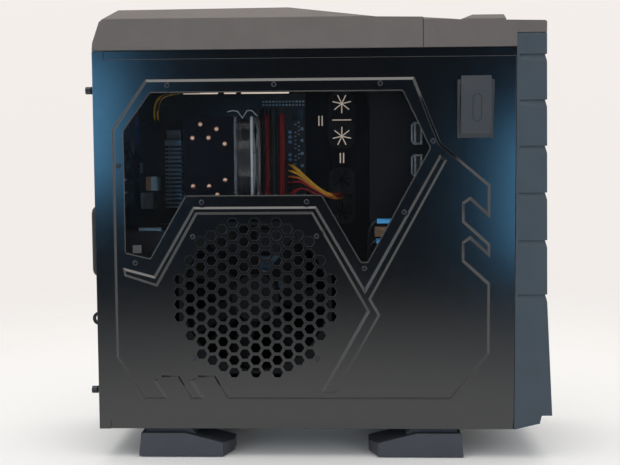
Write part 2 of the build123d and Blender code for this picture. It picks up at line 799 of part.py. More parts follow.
def grommet_slits():
    """Two seven-armed stars, each with one arm towards the other, and a level slit between them."""
    slits = Rectangle(2 * STAR_L, SLIT_W)
    arm = Rectangle(STAR_L, SLIT_W, align=(Align.MIN, Align.CENTER))
    for side in (1, -1):
        for k in range(STAR_ARMS):
            slits += Pos(0, side * STAR_B) * Rot(0, 0, -90 * side + 360 / STAR_ARMS * k) * arm
    return slits


def cable_grommets():
    """Rubber grommets: a slit membrane in the tray's opening between two lips that grip its edge."""
    grommets = []
    for b in GROMMET_B:
        place = Pos(GROMMET_A, b)
        lip = grommet_outline(GROMMET_LIP) - grommet_outline(-GROMMET_EDGE)
        grommet = slab(place * grommet_outline(0), TRAY_FACE, TRAY_BACK)
        grommet += slab(place * lip, TRAY_FACE - GROMMET_LIP_T, TRAY_FACE)
        grommet += slab(place * lip, TRAY_BACK, TRAY_BACK + GROMMET_LIP_T)
        grommets.append(grommet - slab(place * grommet_slits(), TRAY_FACE - 1, TRAY_BACK + 1))
    grommets[1] -= rod_x(GROMMET_A, GROMMET_B[1], TRAY_FACE - 3, TRAY_BACK + 3, CABLE_R + PIN_GAP)
    return group(grommets)


def drive_bay_cage():
    """Two flanged side walls for the wide drive bays, slotted for the drive locks."""
    x1 = X_MID - BAY_W / 2
    wall = block(x1 - SHEET, x1, FW_OUT, y_at(CAGE_REAR), z_at(BAY_LOW), ROOF_IN)
    wall += block(CH_L, x1, FW_OUT, FW_IN, z_at(BAY_LOW), ROOF_IN)
    for i in range(BAYS):
        b = BAY_LOW + (i + 0.5) * BAY_PITCH
        wall -= slab(Pos(LOCK_A, b) * Rectangle(CAGE_SLOT_L, CAGE_SLOT_H), x1 - 2, x1 + 1)
        wall -= slab(Pos(CAGE_WINDOW_A, b) * Rectangle(CAGE_WINDOW_L, CAGE_WINDOW_H), x1 - 2, x1 + 1)
    return group([wall, to_right(wall)])


def drive_bay_locks():
    """Tool-free bracket for each bay on the cage's window side, hollow either side of an upright rib."""
    x1 = X_MID - BAY_W / 2 - SHEET
    outline = chamfer(Rectangle(LOCK_W, LOCK_H).vertices().group_by(Axis.X)[0], LOCK_W / 4)
    inner = offset(outline, -LOCK_RIM, kind=Kind.INTERSECTION)
    inner -= Pos(-LOCK_W / 8, 0) * Rectangle(LOCK_RIM, LOCK_H)
    locks = []
    for i in range(BAYS):
        place = Pos(LOCK_A, BAY_LOW + (i + 0.5) * BAY_PITCH)
        body = slab(place * outline, x1 - LOCK_T, x1)
        locks.append(body - slab(place * inner, x1 - LOCK_T - 1, x1 - LOCK_T + LOCK_DEEP))
    return group(locks)


HDD_REAR = HDD_FRONT - HDD_W - 2 * SHEET - 2 * HDD_GAP
HDD_TOP = BAY_LOW - 4
HDD_SHELVES = 5


def hard_drive_cage():
    """Folded hoop for the small drives: two walls with shelf rails and a top."""
    x0, x1 = X_MID - BAY_W / 2, X_MID + BAY_W / 2
    cage = side_block(HDD_REAR, HDD_FRONT, SHEET, HDD_TOP, x0, x1)
    cage -= side_block(HDD_REAR + SHEET, HDD_FRONT - SHEET, 0, HDD_TOP - SHEET, x0 - 1, x1 + 1)
    for i in range(HDD_SHELVES):
        b = SHEET + HDD_GAP + i * HDD_PITCH
        cage += side_block(HDD_REAR + SHEET, HDD_REAR + SHEET + HDD_GAP + HDD_RAIL, b, b + SHEET, x0, x1)
        cage += side_block(HDD_FRONT - SHEET - HDD_GAP - HDD_RAIL, HDD_FRONT - SHEET, b, b + SHEET, x0, x1)
    return cage


def hard_drives():
    drives = []
    for i in (1, 3):
        b = 2 * SHEET + HDD_GAP + i * HDD_PITCH
        a = HDD_REAR + SHEET + HDD_GAP
        x0 = X_MID - HDD_L / 2
        drive = side_block(a, a + HDD_W, b, b + HDD_T, x0, x0 + HDD_L)
        drive -= side_block(a + 8, a + HDD_W - 8, b + HDD_T - 2, b + HDD_T + 1, x0 + 6, x0 + 30)
        drives.append(drive)
    return group(drives)


# Rear fittings


def slot_covers():
    covers = []
    for i in range(2, SLOTS):
        z = z_at(slot_middle(i))
        strip = block(slot_end() + 2 - COVER_STRIP_L, slot_end() + 2, RW_IN - COVER_STRIP_T, RW_IN,
                      z - COVER_STRIP_H / 2, z + COVER_STRIP_H / 2)
        ends = [slot_end() - COVER_VENT_FIRST - k * COVER_VENT_PITCH for k in range(COVER_VENTS)]
        covers.append(strip - [block(x - COVER_VENT_L, x, RW_IN - 2, RW_IN + 1, z - COVER_VENT_H / 2,
                                     z + COVER_VENT_H / 2) for x in ends])
    return group(covers)


def slot_guard():
    """Rounded cover outside the rear wall over the ends of the expansion brackets."""
    x0 = X_LEFT + GUARD_INSET
    guard = block(x0, x0 + GUARD_W, RW_OUT, RW_OUT + GUARD_PROUD, z_at(GUARD_LOW), z_at(GUARD_TOP))
    guard = fillet(guard.edges().filter_by(Axis.Y), GUARD_PROUD)
    outer = guard.faces().sort_by(Axis.Y)[-1]
    return fillet(outer.edges(), GUARD_PROUD / 2)


def padlock_loop():
    """Flat eye that stands out from the rear wall, with its foot on the wall."""
    x0 = X_LEFT + GUARD_INSET
    x1 = x0 + LOOP_T
    wall_a = Y_REAR - RW_OUT
    eye_a = wall_a - LOOP_PROUD + LOOP_R
    low, top = LOOP_B - LOOP_R, LOOP_B + LOOP_R
    loop = slab(Pos(eye_a, LOOP_B) * Circle(LOOP_R), x0, x1) + side_block(eye_a, wall_a, low, top, x0, x1)
    loop -= side_block(wall_a, wall_a + 2 * LOOP_R, low, top, x0, x1)
    loop += side_block(wall_a - LOOP_FOOT_T, wall_a, low, top, x0, x0 + LOOP_FOOT_W)
    return loop - rod_x(eye_a, LOOP_B, x0 - 1, x1 + 1, LOOP_HOLE_R)


# Top cover and console


def hollow_cover(profile, section):
    """Moulded shell, open below: a side profile met by a cross-section, both thinned by the wall."""
    def crossed(side, front):
        body = slab(side, X_LEFT - 1, X_RIGHT + 1)
        plane = Plane(origin=(X_MID, y_at(LIP_A), z_at(ROOF_B)), x_dir=(-1, 0, 0), z_dir=(0, 1, 0))
        return body & extrude(plane * front, amount=LIP_A + COVER_H)
    inner = crossed(offset(profile, -COVER_WALL, kind=Kind.INTERSECTION),
                    offset(section, -COVER_WALL, kind=Kind.INTERSECTION))
    return crossed(profile, section) - inner - Pos(0, 0, -COVER_WALL - 1) * inner


def cover_section(height, side_height):
    half = BODY_W / 2
    top = half - COVER_BEVEL_W
    left = [(-half, 0), (-half, side_height), (-top, height)]
    return face(left + [(-x, z) for x, z in reversed(left)])


def top_vent(length, width, z0, z1):
    outline = RectangleRounded(width, length, 12)
    return Pos(X_MID, y_at(TOP_FAN_A), z0) * extrude(outline, z1 - z0)


def top_cover():
    """Rear part of the top: sloping rear end, flat vent, ramp down to the console."""
    top = ROOF_B + COVER_H
    low = ROOF_B + CONSOLE_H
    profile = face([
        (0, ROOF_B), (1, ROOF_B + 10), (10, top - 20), (31, top - 1.5), (254, top),
        (COVER_SPLIT - 61, low + 1), (COVER_SPLIT - SEAM, low), (COVER_SPLIT - SEAM, ROOF_B),
    ])
    cover = hollow_cover(profile, cover_section(COVER_H, COVER_SIDE_H))
    z = z_at(top)
    cover += top_vent(TOP_VENT_L + 2 * VENT_LEDGE, TOP_VENT_W + 2 * VENT_LEDGE, z - 6, z - 2)
    cover -= top_vent(TOP_VENT_L, TOP_VENT_W, z - 4, z + 1)
    return cover - top_vent(TOP_VENT_L - 2 * VENT_LEDGE, TOP_VENT_W - 2 * VENT_LEDGE, z - 8, z + 1)


def slotted_plate(plate, rows, columns, cut):
    for i in range(rows):
        plate = plate - [cut(i, j) for j in range(columns)]
    return plate


def top_mesh():
    z = z_at(ROOF_B + COVER_H) - 4
    plate = top_vent(TOP_VENT_L - 2 * MESH_GAP, TOP_VENT_W - 2 * MESH_GAP, z, z + MESH_T)
    rows = int((TOP_VENT_L - 4 * VENT_LEDGE) // MESH_PITCH)
    first = y_at(TOP_FAN_A) - (rows - 1) * MESH_PITCH / 2
    reach = TOP_VENT_W / 2 - 2.5 * VENT_LEDGE

    def cut(i, j):
        x0 = X_MID - reach if j == 0 else X_MID + MESH_RIB / 2
        y = first + MESH_PITCH * i
        x1 = x0 + reach - MESH_RIB / 2
        return block(x0, x1, y - MESH_SLOT / 2, y + MESH_SLOT / 2, z - 1, z + MESH_T + 1)

    return slotted_plate(plate, rows, 2, cut)


BUMP_A0 = PANEL_L - 55.0
BUMP_A1 = PANEL_L - 15.0
BUTTON_A = (BUMP_A0 + BUMP_A1) / 2
POWER_X = X_MID - 12.0
RESET_X = X_MID + 18.0
PORT_B = (BEZEL_TOP + ROOF_B + CONSOLE_H - 6) / 2
USB_XS = [X_MID - 62, X_MID - 38, X_MID + 38, X_MID + 62]
JACK_XS = [X_MID - 10, X_MID + 10]


def button_well(x, width, grow, z0, z1):
    well = RectangleRounded(width + 2 * grow, BUTTON_L + 2 * grow, 3)
    return Pos(x, y_at(BUTTON_A), z0) * extrude(well, z1 - z0)


def front_console():
    """Front part of the top: low deck, a raised switch block, and a port face above the bezel."""
    deck = ROOF_B + CONSOLE_H - 4
    bump = ROOF_B + CONSOLE_BUMP_H
    profile = face([
        (COVER_SPLIT, ROOF_B), (COVER_SPLIT, ROOF_B + CONSOLE_H), (BUMP_A0 - 16, deck), (BUMP_A0, bump),
        (BUMP_A1, bump), (BUMP_A1 + 2, deck - 1), (CONSOLE_FRONT - 2, deck - 2), (CONSOLE_FRONT, deck - 4),
        (CONSOLE_FRONT, BEZEL_TOP + SEAM), (FRONT_SEAM, BEZEL_TOP + SEAM), (FRONT_SEAM, ROOF_B),
    ])
    console = hollow_cover(profile, cover_section(CONSOLE_BUMP_H + 12, CONSOLE_H - 3))
    console -= side_block(FRONT_SEAM + COVER_WALL, CONSOLE_FRONT - COVER_WALL, BEZEL_TOP,
                          BEZEL_TOP + SEAM + COVER_WALL + 1, X_LEFT + COVER_WALL, X_RIGHT - COVER_WALL)
    z = z_at(bump)
    console -= button_well(POWER_X, BUTTON_W, BUTTON_GAP, z - 2 * COVER_WALL, z + 1)
    console -= button_well(RESET_X, RESET_W, BUTTON_GAP, z - 2 * COVER_WALL, z + 1)
    front = y_at(CONSOLE_FRONT)
    z = z_at(PORT_B)
    for x in USB_XS:
        console -= block(x - USB_W / 2, x + USB_W / 2, front - 1, front + USB_DEEP, z - USB_H / 2, z + USB_H / 2)
    for x in JACK_XS:
        console -= rod((x, front - 1, z), (x, front + USB_DEEP, z), JACK_R + PIN_GAP)
    return console


def console_ports():
    """Four flat sockets with their tongues and two round jacks, set in the console's front wall."""
    front = y_at(CONSOLE_FRONT)
    z = z_at(PORT_B)
    ports = []
    for x in USB_XS:
        shell = block(x - USB_W / 2, x + USB_W / 2, front, front + USB_DEEP, z - USB_H / 2, z + USB_H / 2)
        shell -= block(x - USB_W / 2 + USB_WALL, x + USB_W / 2 - USB_WALL, front - 1, front + USB_DEEP - 2,
                       z - USB_H / 2 + USB_WALL, z + USB_H / 2 - USB_WALL)
        shell += block(x - USB_W / 2 + 2, x + USB_W / 2 - 2, front + 2, front + USB_DEEP - 1, z, z + 1.8)
        ports.append(shell)
    for x in JACK_XS:
        jack = rod((x, front, z), (x, front + USB_DEEP, z), JACK_R)
        ports.append(jack - rod((x, front - 1, z), (x, front + USB_DEEP - 2, z), JACK_R / 2.5))
    return group(ports)


def button(x, width):
    """Cap that stands proud of the switch block, with a wider rim under its wall."""
    bump = z_at(ROOF_B + CONSOLE_BUMP_H)
    under = bump - COVER_WALL - BUTTON_GAP
    cap = button_well(x, width, 0, under - 1, bump + BUTTON_RISE)
    cap = fillet(cap.faces().sort_by(Axis.Z)[-1].edges(), 0.8)
    return cap + button_well(x, width, BUTTON_RIM, under - 2, under)


def power_button():
    return button(POWER_X, BUTTON_W)


def reset_button():
    return button(RESET_X, RESET_W)


# Front bezel


def bezel_front(b):
    """Front of the plates, which leans out towards the lowest one."""
    return BEZEL_FRONT + BEZEL_LEAN * (BEZEL_TOP - b) / (BEZEL_TOP - BEZEL_NOTCHES[-1])


def bezel_profile():
    """Side view: plates that each start behind the one above, then a slope out to the lower lip."""
    points = [(FRONT_SEAM, 0), (FRONT_SEAM, BEZEL_TOP), (BEZEL_FRONT, BEZEL_TOP)]
    for b in BEZEL_NOTCHES:
        front = bezel_front(b)
        points += [(front, b), (front - PLATE_STEP, b), (front, b - PLATE_RAMP)]
    points += [(LIP_A, LIP_B), (LIP_A - 13.5, LIP_B), (LIP_A - 16, 8), (LIP_A - 33, 4)]
    return face(points)


def side_notch(b):
    """Cutter for the left side: deepest under the plate above, running out downwards, taller at the front."""
    def section(a, height):
        corners = [(X_LEFT, b - height), (X_LEFT, b), (X_LEFT + NOTCH_D, b)]
        return make_face(Polyline(*[(x, y_at(a), z_at(v)) for x, v in corners], close=True))
    rear = section(BEZEL_FRONT - NOTCH_L, NOTCH_REAR_H)
    return loft([rear, section(LIP_A, NOTCH_FRONT_H)], ruled=True)


FACE_A = BEZEL_FRONT - COVER_SET
CAVITY_A = FACE_A - COVER_T - 3.0


def bezel_opening(b0, b1, width, ledge):
    """Opening in the bezel's face with a ledge behind it for the insert."""
    half = width / 2
    front = side_block(FACE_A - COVER_T, LIP_A + 1, b0, b1, X_MID - half, X_MID + half)
    rear = side_block(PANEL_L, LIP_A, b0 + ledge, b1 - ledge, X_MID - half + ledge, X_MID + half - ledge)
    return [front, rear]


def front_bezel():
    bezel = slab(bezel_profile(), X_LEFT, X_RIGHT)
    cavity = face([(PANEL_L, BEZEL_WALL + 3), (CAVITY_A, 14), (CAVITY_A, BEZEL_TOP - BEZEL_WALL),
                   (PANEL_L, BEZEL_TOP - BEZEL_WALL)])
    bezel -= slab(cavity, X_LEFT + BEZEL_WALL, X_RIGHT - BEZEL_WALL)
    bezel -= bezel_opening(BAY_LOW, BAY_TOP, BAY_W, VENT_LEDGE)
    bezel -= bezel_opening(FRONT_VENT_LOW, FRONT_VENT_TOP, FRONT_VENT_W, VENT_LEDGE)
    for b in BEZEL_NOTCHES:
        notch = side_notch(b)
        bezel -= [notch, to_right(notch)]
    return bezel


def bay_covers():
    """Six clip-in covers, each a shallow tray with three long slots."""
    covers = []
    half = BAY_W / 2 - COVER_GAP
    for i in range(BAYS):
        b0 = BAY_LOW + i * BAY_PITCH + COVER_GAP
        b1 = b0 + BAY_PITCH - 2 * COVER_GAP
        cover = side_block(FACE_A - COVER_T, FACE_A, b0, b1, X_MID - half, X_MID + half)
        for k in range(3):
            b = b0 + (k + 1) * (b1 - b0) / 4
            reach = half - BAY_SLOT_INSET
            cover -= side_block(FACE_A - COVER_T - 1, FACE_A + 1, b - BAY_SLOT_H / 2, b + BAY_SLOT_H / 2,
                                X_MID - reach, X_MID + reach)
        covers.append(cover)
    return group(covers)


def front_mesh():
    half = FRONT_VENT_W / 2 - MESH_GAP
    low, top = FRONT_VENT_LOW + MESH_GAP, FRONT_VENT_TOP - MESH_GAP
    plate = side_block(FACE_A - COVER_T, FACE_A - COVER_T + MESH_T, low, top, X_MID - half, X_MID + half)
    rows = int((top - low - 4 * VENT_LEDGE) // MESH_PITCH)
    first = (low + top) / 2 - (rows - 1) * MESH_PITCH / 2
    reach = half - 2.5 * VENT_LEDGE

    def cut(i, j):
        x0 = X_MID - reach if j == 0 else X_MID + MESH_RIB / 2
        b = first + MESH_PITCH * i
        return side_block(FACE_A - COVER_T - 1, FACE_A, b - MESH_SLOT / 2, b + MESH_SLOT / 2,
                          x0, x0 + reach - MESH_RIB / 2)

    return slotted_plate(plate, rows, 2, cut)


# Feet


def foot_block():
    """Rear left foot: outer wedge that thins towards the middle, and an inner block that meets the floor."""
    low = PAD_T - FOOT_H
    tip = FOOT_A + FOOT_L
    x0 = X_LEFT + FOOT_INSET
    wedge = face([
        (FOOT_A, low), (FOOT_A + 3.5, FOOT_TOP), (FOOT_A + FOOT_FLAT, FOOT_TOP),
        (tip, FOOT_TOP - FOOT_FALL), (tip, low),
    ])
    core = face([(FOOT_A + 8, low), (FOOT_A + 8, 0), (FOOT_A + 66, 0), (tip - 24, low)])
    foot = slab(wedge, x0, x0 + FOOT_W) + slab(core, x0 + FOOT_BLOCK_INSET, x0 + FOOT_W)
    nose = [(x0, y_at(tip - FOOT_NOSE_L)), (x0, y_at(tip)), (x0 + FOOT_NOSE_W, y_at(tip))]
    return foot - extrude(face(nose), FOOT_H)


def foot_pad():
    x0 = X_LEFT + FOOT_INSET + (FOOT_W - PAD_W) / 2
    outline = RectangleRounded(PAD_W, PAD_L, 4)
    return Pos(x0 + PAD_W / 2, y_at(FOOT_A + FOOT_L * 0.46), 0) * extrude(outline, PAD_T)


def four_corners(piece):
    front = mirror(piece, about=Plane(origin=(0, y_at(FEET_MID), 0), z_dir=(0, 1, 0)))
    return group([piece, front, to_right(piece), to_right(front)])


def feet():
    return four_corners(foot_block())


def foot_pads():
    return four_corners(foot_pad())


# Power supply

PSU_X0 = X_MID - PSU_W / 2
INLET_X = PSU_X0 + 34.0
INLET_Z = FLOOR_TOP + 56.0
ROCKER_X = PSU_X0 + 70.0


def rocker_axis(x0, x1, gap):
    y = RW_IN - ROCKER_DEEP / 2
    return rod((x0, y, INLET_Z), (x1, y, INLET_Z), FAN_SHAFT_R + gap)


def power_supply():
    """Steel box against the rear wall, slotted at the back, with pockets for the inlet and the switch."""
    case = block(PSU_X0, PSU_X0 + PSU_W, RW_IN - PSU_L, RW_IN, FLOOR_TOP, FLOOR_TOP + PSU_H)
    case = chamfer(case.edges().filter_by(Axis.Y), 1.5)
    case -= block(INLET_X - INLET_W / 2, INLET_X + INLET_W / 2, RW_IN - INLET_DEEP, RW_IN + 1,
                  INLET_Z - INLET_H / 2, INLET_Z + INLET_H / 2)
    case -= block(ROCKER_X - ROCKER_W / 2, ROCKER_X + ROCKER_W / 2, RW_IN - ROCKER_DEEP, RW_IN + 1,
                  INLET_Z - ROCKER_H / 2, INLET_Z + ROCKER_H / 2)
    case -= rocker_axis(ROCKER_X - ROCKER_W / 2 - 2, ROCKER_X + ROCKER_W / 2 + 2, PIN_GAP)
    for i in range(6):
        x = PSU_X0 + PSU_W - 16 - 9 * i
        case -= block(x - 2.5, x + 2.5, RW_IN - 3, RW_IN + 1, FLOOR_TOP + 12, FLOOR_TOP + PSU_H - 12)
    return case


def psu_inlet():
    """Mains socket: open box with three blades set back from its mouth."""
    x0, x1 = INLET_X - INLET_W / 2, INLET_X + INLET_W / 2
    z0, z1 = INLET_Z - INLET_H / 2, INLET_Z + INLET_H / 2
    socket = block(x0, x1, RW_IN - INLET_DEEP, RW_IN, z0, z1)
    socket -= block(x0 + INLET_WALL, x1 - INLET_WALL, RW_IN - INLET_DEEP + INLET_WALL, RW_IN + 1,
                    z0 + INLET_WALL, z1 - INLET_WALL)
    for dx, dz in [(-7, -2), (0, 2), (7, -2)]:
        socket += block(INLET_X + dx - 1, INLET_X + dx + 1, RW_IN - INLET_DEEP, RW_IN - PIN_SET,
                        INLET_Z + dz - 2, INLET_Z + dz + 2)
    return socket


def psu_switch():
    """Rocker on a cross pin, resting with its lower half pressed."""
    y = RW_IN - ROCKER_DEEP / 2
    half = ROCKER_H / 2 - ROCKER_GAP - 0.7
    profile = face([(-half, 0.5), (-half, 3.6), (0, 2.4), (half, 3.6), (half, 0.5), (0, -2.8)])
    width = ROCKER_W - 2 * ROCKER_GAP
    plane = Plane(origin=(ROCKER_X - width / 2, y, INLET_Z), x_dir=(0, 0, -1), z_dir=(1, 0, 0))
    rocker = extrude(plane * profile, amount=width)
    turn = Location((0, y, INLET_Z)) * Location((0, 0, 0), (ROCKER_TILT, 0, 0)) * Location((0, -y, -INLET_Z))
    return turn * rocker + rocker_axis(ROCKER_X - ROCKER_W / 2 - 1.5, ROCKER_X + ROCKER_W / 2 + 1.5, 0)


# Motherboard


def standoff_places():
    return [(BOARD_REAR + da, BOARD_LOW + db) for da in (9, 132, 255) for db in (8, 152, 297)]


def standoffs():
    """Hexagonal pillars that carry the board on the tray."""
    pillar = RegularPolygon(STANDOFF_R, 6)
    return group(slab(Pos(a, b) * pillar, BOARD_BACK, TRAY_FACE) for a, b in standoff_places())


def motherboard():
    front, top = BOARD_REAR + BOARD_L, BOARD_LOW + BOARD_H
    return side_block(BOARD_REAR, front, BOARD_LOW, top, BOARD_FACE, BOARD_BACK)


PORT_HEIGHTS = [26.0, 30.0, 14.0, 30.0, 30.0, 30.0, 34.0, 34.0]
PORT_PITCH = 19.0
PORT_WIDTH = 16.5
PORT_GAP = 0.3


def port_box(index, grow, y0, y1):
    b = IO_LOW + IO_H - 13 - index * PORT_PITCH
    half = PORT_WIDTH / 2 + grow
    return block(BOARD_FACE - PORT_HEIGHTS[index] - grow, BOARD_FACE, y0, y1, z_at(b) - half, z_at(b) + half)


def io_shield():
    """Thin plate that fills the rear opening round the port blocks."""
    x0, x1 = io_edges()
    shield = block(x0, x1, RW_IN, RW_OUT, z_at(IO_LOW), z_at(IO_LOW + IO_H))
    for i in range(len(PORT_HEIGHTS)):
        shield -= port_box(i, PORT_GAP, RW_IN - 1, RW_OUT + 1)
    return shield


def rear_io_ports():
    """Port blocks on the board's rear edge, each with two sockets open to the rear."""
    ports = []
    for i, height in enumerate(PORT_HEIGHTS):
        rear = RW_OUT + PORT_GAP
        port = port_box(i, 0, y_at(BOARD_REAR + 16), rear)
        b = IO_LOW + IO_H - 13 - i * PORT_PITCH
        rows = 1 if height < 20 else 2
        for k in range(rows):
            x = BOARD_FACE - (k + 0.5) * height / rows
            port -= block(x - 3, x + 3, rear - 9, rear + 1, z_at(b) - 6.5, z_at(b) + 6.5)
            port += block(x - 0.9, x + 0.9, rear - 10, rear - 2, z_at(b) - 4.5, z_at(b) + 4.5)
        ports.append(port)
    return group(ports)


def cpu_socket():
    place = Pos(CPU_A, CPU_B)
    low = BOARD_FACE - SOCKET_T + LID_T
    socket = slab(place * Rectangle(SOCKET_W, SOCKET_W), low, BOARD_FACE)
    return socket + slab(place * Rectangle(LID_W, LID_W), BOARD_FACE - SOCKET_T, low)


def pipe_places():
    first = CPU_A - PIPE_STEP * (len(PIPE_SPANS) - 1) / 2
    return [(first + i * PIPE_STEP, span) for i, span in enumerate(PIPE_SPANS)]


def heat_pipe(a, span, radius):
    """One pipe with domed ends: up through the fins, across inside the base and up again."""
    x_low = BASE_TOP + COOLER_BASE_T / 2
    x_top = COOLER_TOP - PIPE_TIP + radius
    y = y_at(a)
    corners = [(x_top, y, z_at(CPU_B + span)), (x_low, y, z_at(CPU_B + span)),
               (x_low, y, z_at(CPU_B - span)), (x_top, y, z_at(CPU_B - span))]
    path = FilletPolyline(*corners, radius=PIPE_BEND)
    section = Plane(origin=corners[0], z_dir=(1, 0, 0)) * Circle(radius)
    domes = [Pos(*corner) * Sphere(radius) for corner in (corners[0], corners[-1])]
    return sweep(section, path=path) + domes


def heat_pipes():
    return group(heat_pipe(a, span, PIPE_R) for a, span in pipe_places())


def cooler_base():
    """Copper block on the processor, bored for the straight middle of every pipe."""
    half = COOLER_BASE_W / 2
    low, top = CPU_B - PIPE_RUN, CPU_B + PIPE_RUN
    base = side_block(CPU_A - half, CPU_A + half, low, top, BASE_TOP, BASE_TOP + COOLER_BASE_T)
    x = BASE_TOP + COOLER_BASE_T / 2
    return base - [rod((x, y_at(a), z_at(low)), (x, y_at(a), z_at(top)), PIPE_R + PIPE_GAP)
                   for a, span in pipe_places()]


def cooler_fins():
    """Fin stack round the pipes, with its edges open all round and a closed plate on top."""
    depth = FIN_COUNT * FIN_PITCH
    fin = Pos(CPU_A, CPU_B) * Rectangle(FIN_L, FIN_H)
    core = Pos(CPU_A, CPU_B) * Rectangle(FIN_L - 2 * FIN_DEEP, FIN_H - 2 * FIN_DEEP)
    stack = slab(core, COOLER_TOP, COOLER_TOP + depth)
    places = [COOLER_TOP + i * FIN_PITCH for i in range(FIN_COUNT + 1)]
    stack += [slab(fin, x, x + FIN_T) for x in places]
    ends = [(a, CPU_B + side * span) for a, span in pipe_places() for side in (-1, 1)]
    return stack - [rod_x(a, b, COOLER_TOP, COOLER_TOP + depth + FIN_T, PIPE_R + PIPE_GAP) for a, b in ends]


def memory_slots():
    slots = []
    for a in DIMM_A:
        half = DIMM_W / 2
        b0, b1 = CPU_B + 10 - DIMM_L / 2, CPU_B + 10 + DIMM_L / 2
        slot = side_block(a - half, a + half, b0, b1, BOARD_FACE - DIMM_SLOT_H, BOARD_FACE)
        for low in (b0, b1 - 7):
            slot += side_block(a - half, a + half, low, low + 7, BOARD_FACE - DIMM_SLOT_H - 9, BOARD_FACE)
        groove = DIMM_T / 2 + CARD_GAP
        slot -= side_block(a - groove, a + groove, b0 + 2.5, b1 - 2.5, BOARD_FACE - 40, BOARD_FACE - 3)
        slots.append(slot)
    return group(slots)


def memory_modules():
    modules = []
    for a in DIMM_A[0::2]:
        half = DIMM_T / 2
        b0, b1 = CPU_B + 10 - DIMM_L / 2 + 2.7, CPU_B + 10 + DIMM_L / 2 - 2.7
        modules.append(side_block(a - half, a + half, b0, b1, BOARD_FACE - 3 - DIMM_H, BOARD_FACE - 3))
    return group(modules)


def finned_sink(a0, a1, b0, b1, height, pitch):
    sink = side_block(a0, a1, b0, b1, BOARD_FACE - height, BOARD_FACE)
    count = int((b1 - b0 - 4) // pitch)
    for i in range(count):
        b = b0 + 3 + i * pitch
        sink -= side_block(a0 - 1, a1 + 1, b, b + pitch / 2, BOARD_FACE - height - 1, BOARD_FACE - 7)
    return sink


def board_heatsinks():
    regulator = finned_sink(66, 90, 286, 384, 34, 6.0)
    chipset = finned_sink(178, 232, 166, 214, 18, 8.0)
    bridge = finned_sink(96, 140, 276, 288, 16, 6.0)
    return group([regulator, chipset, bridge])


def expansion_slots():
    slots = []
    for i in range(SLOTS - 1):
        b = slot_middle(i)
        length = PCIE_L if i % 2 == 0 else PCIE_L / 3
        outline = Pos(PCIE_A + length / 2, b) * Rectangle(length, PCIE_W)
        slot = slab(outline, BOARD_FACE - PCIE_H, BOARD_FACE)
        groove = PCB_T / 2 + CARD_GAP
        slot -= side_block(PCIE_A + 2, PCIE_A + length - 2, b - groove, b + groove,
                           BOARD_FACE - PCIE_H - 1, BOARD_FACE - PCIE_H + CARD_EDGE + 1)
        slots.append(slot)
    return group(slots)


def graphics_card():
    """Two-slot card: board with its edge in the first slot, duct below it and a slotted bracket."""
    x1 = BOARD_FACE - PCIE_H - 1
    x0 = x1 - CARD_H
    b = SLOT_TOP
    rear_a = Y_REAR - RW_IN + COVER_STRIP_T
    card = side_block(rear_a, rear_a + CARD_L, b - PCB_T / 2, b + PCB_T / 2, x0, x1)
    edge = Pos(PCIE_A + PCIE_L / 2, b) * Rectangle(PCIE_L - 6, PCB_T)
    card += slab(edge, x1 - 1, x1 + 1 + CARD_EDGE)
    duct = side_block(rear_a, rear_a + CARD_L, b - PCB_T / 2 - CARD_T, b - PCB_T / 2, x0 + 1, x1 - 6)
    duct = chamfer(duct.edges().filter_by(Axis.Y).group_by(Axis.Z)[0], 6)
    hub_y, hub_x = y_at(rear_a + CARD_L - 48), (x0 + x1) / 2
    z = z_at(b - PCB_T / 2 - CARD_T)
    duct -= rod((hub_x, hub_y, z - 1), (hub_x, hub_y, z + 20), 33)
    duct += rod((hub_x, hub_y, z + 4), (hub_x, hub_y, z + 24), 14)
    card += duct
    top = z_at(b) + COVER_STRIP_H / 2
    bracket = block(slot_end() + 2 - COVER_STRIP_L, slot_end() + 2, RW_IN - COVER_STRIP_T, RW_IN,
                    top - COVER_STRIP_H - SLOT_PITCH, top)
    return card + bracket


def power_cable():
    """Main board plug and its sleeved cable, which runs to the lower grommet and behind the tray."""
    plug_out = BOARD_FACE - PLUG_H
    plug = side_block(PLUG_A - PLUG_W / 2, PLUG_A + PLUG_W / 2, PLUG_B - PLUG_L / 2, PLUG_B + PLUG_L / 2,
                      plug_out, BOARD_FACE)
    points = [(plug_out, y_at(PLUG_A), z_at(PLUG_B)), (plug_out - CABLE_OUT, y_at(PLUG_A), z_at(PLUG_B)),
              (plug_out - CABLE_OUT, y_at(GROMMET_A), z_at(GROMMET_B[1])),
              (TRAY_BACK + CABLE_BEHIND, y_at(GROMMET_A), z_at(GROMMET_B[1]))]
    path = FilletPolyline(*points, radius=CABLE_BEND)
    section = Plane(origin=points[0], z_dir=(-1, 0, 0)) * Circle(CABLE_R)
    return group([plug, sweep(section, path=path)])


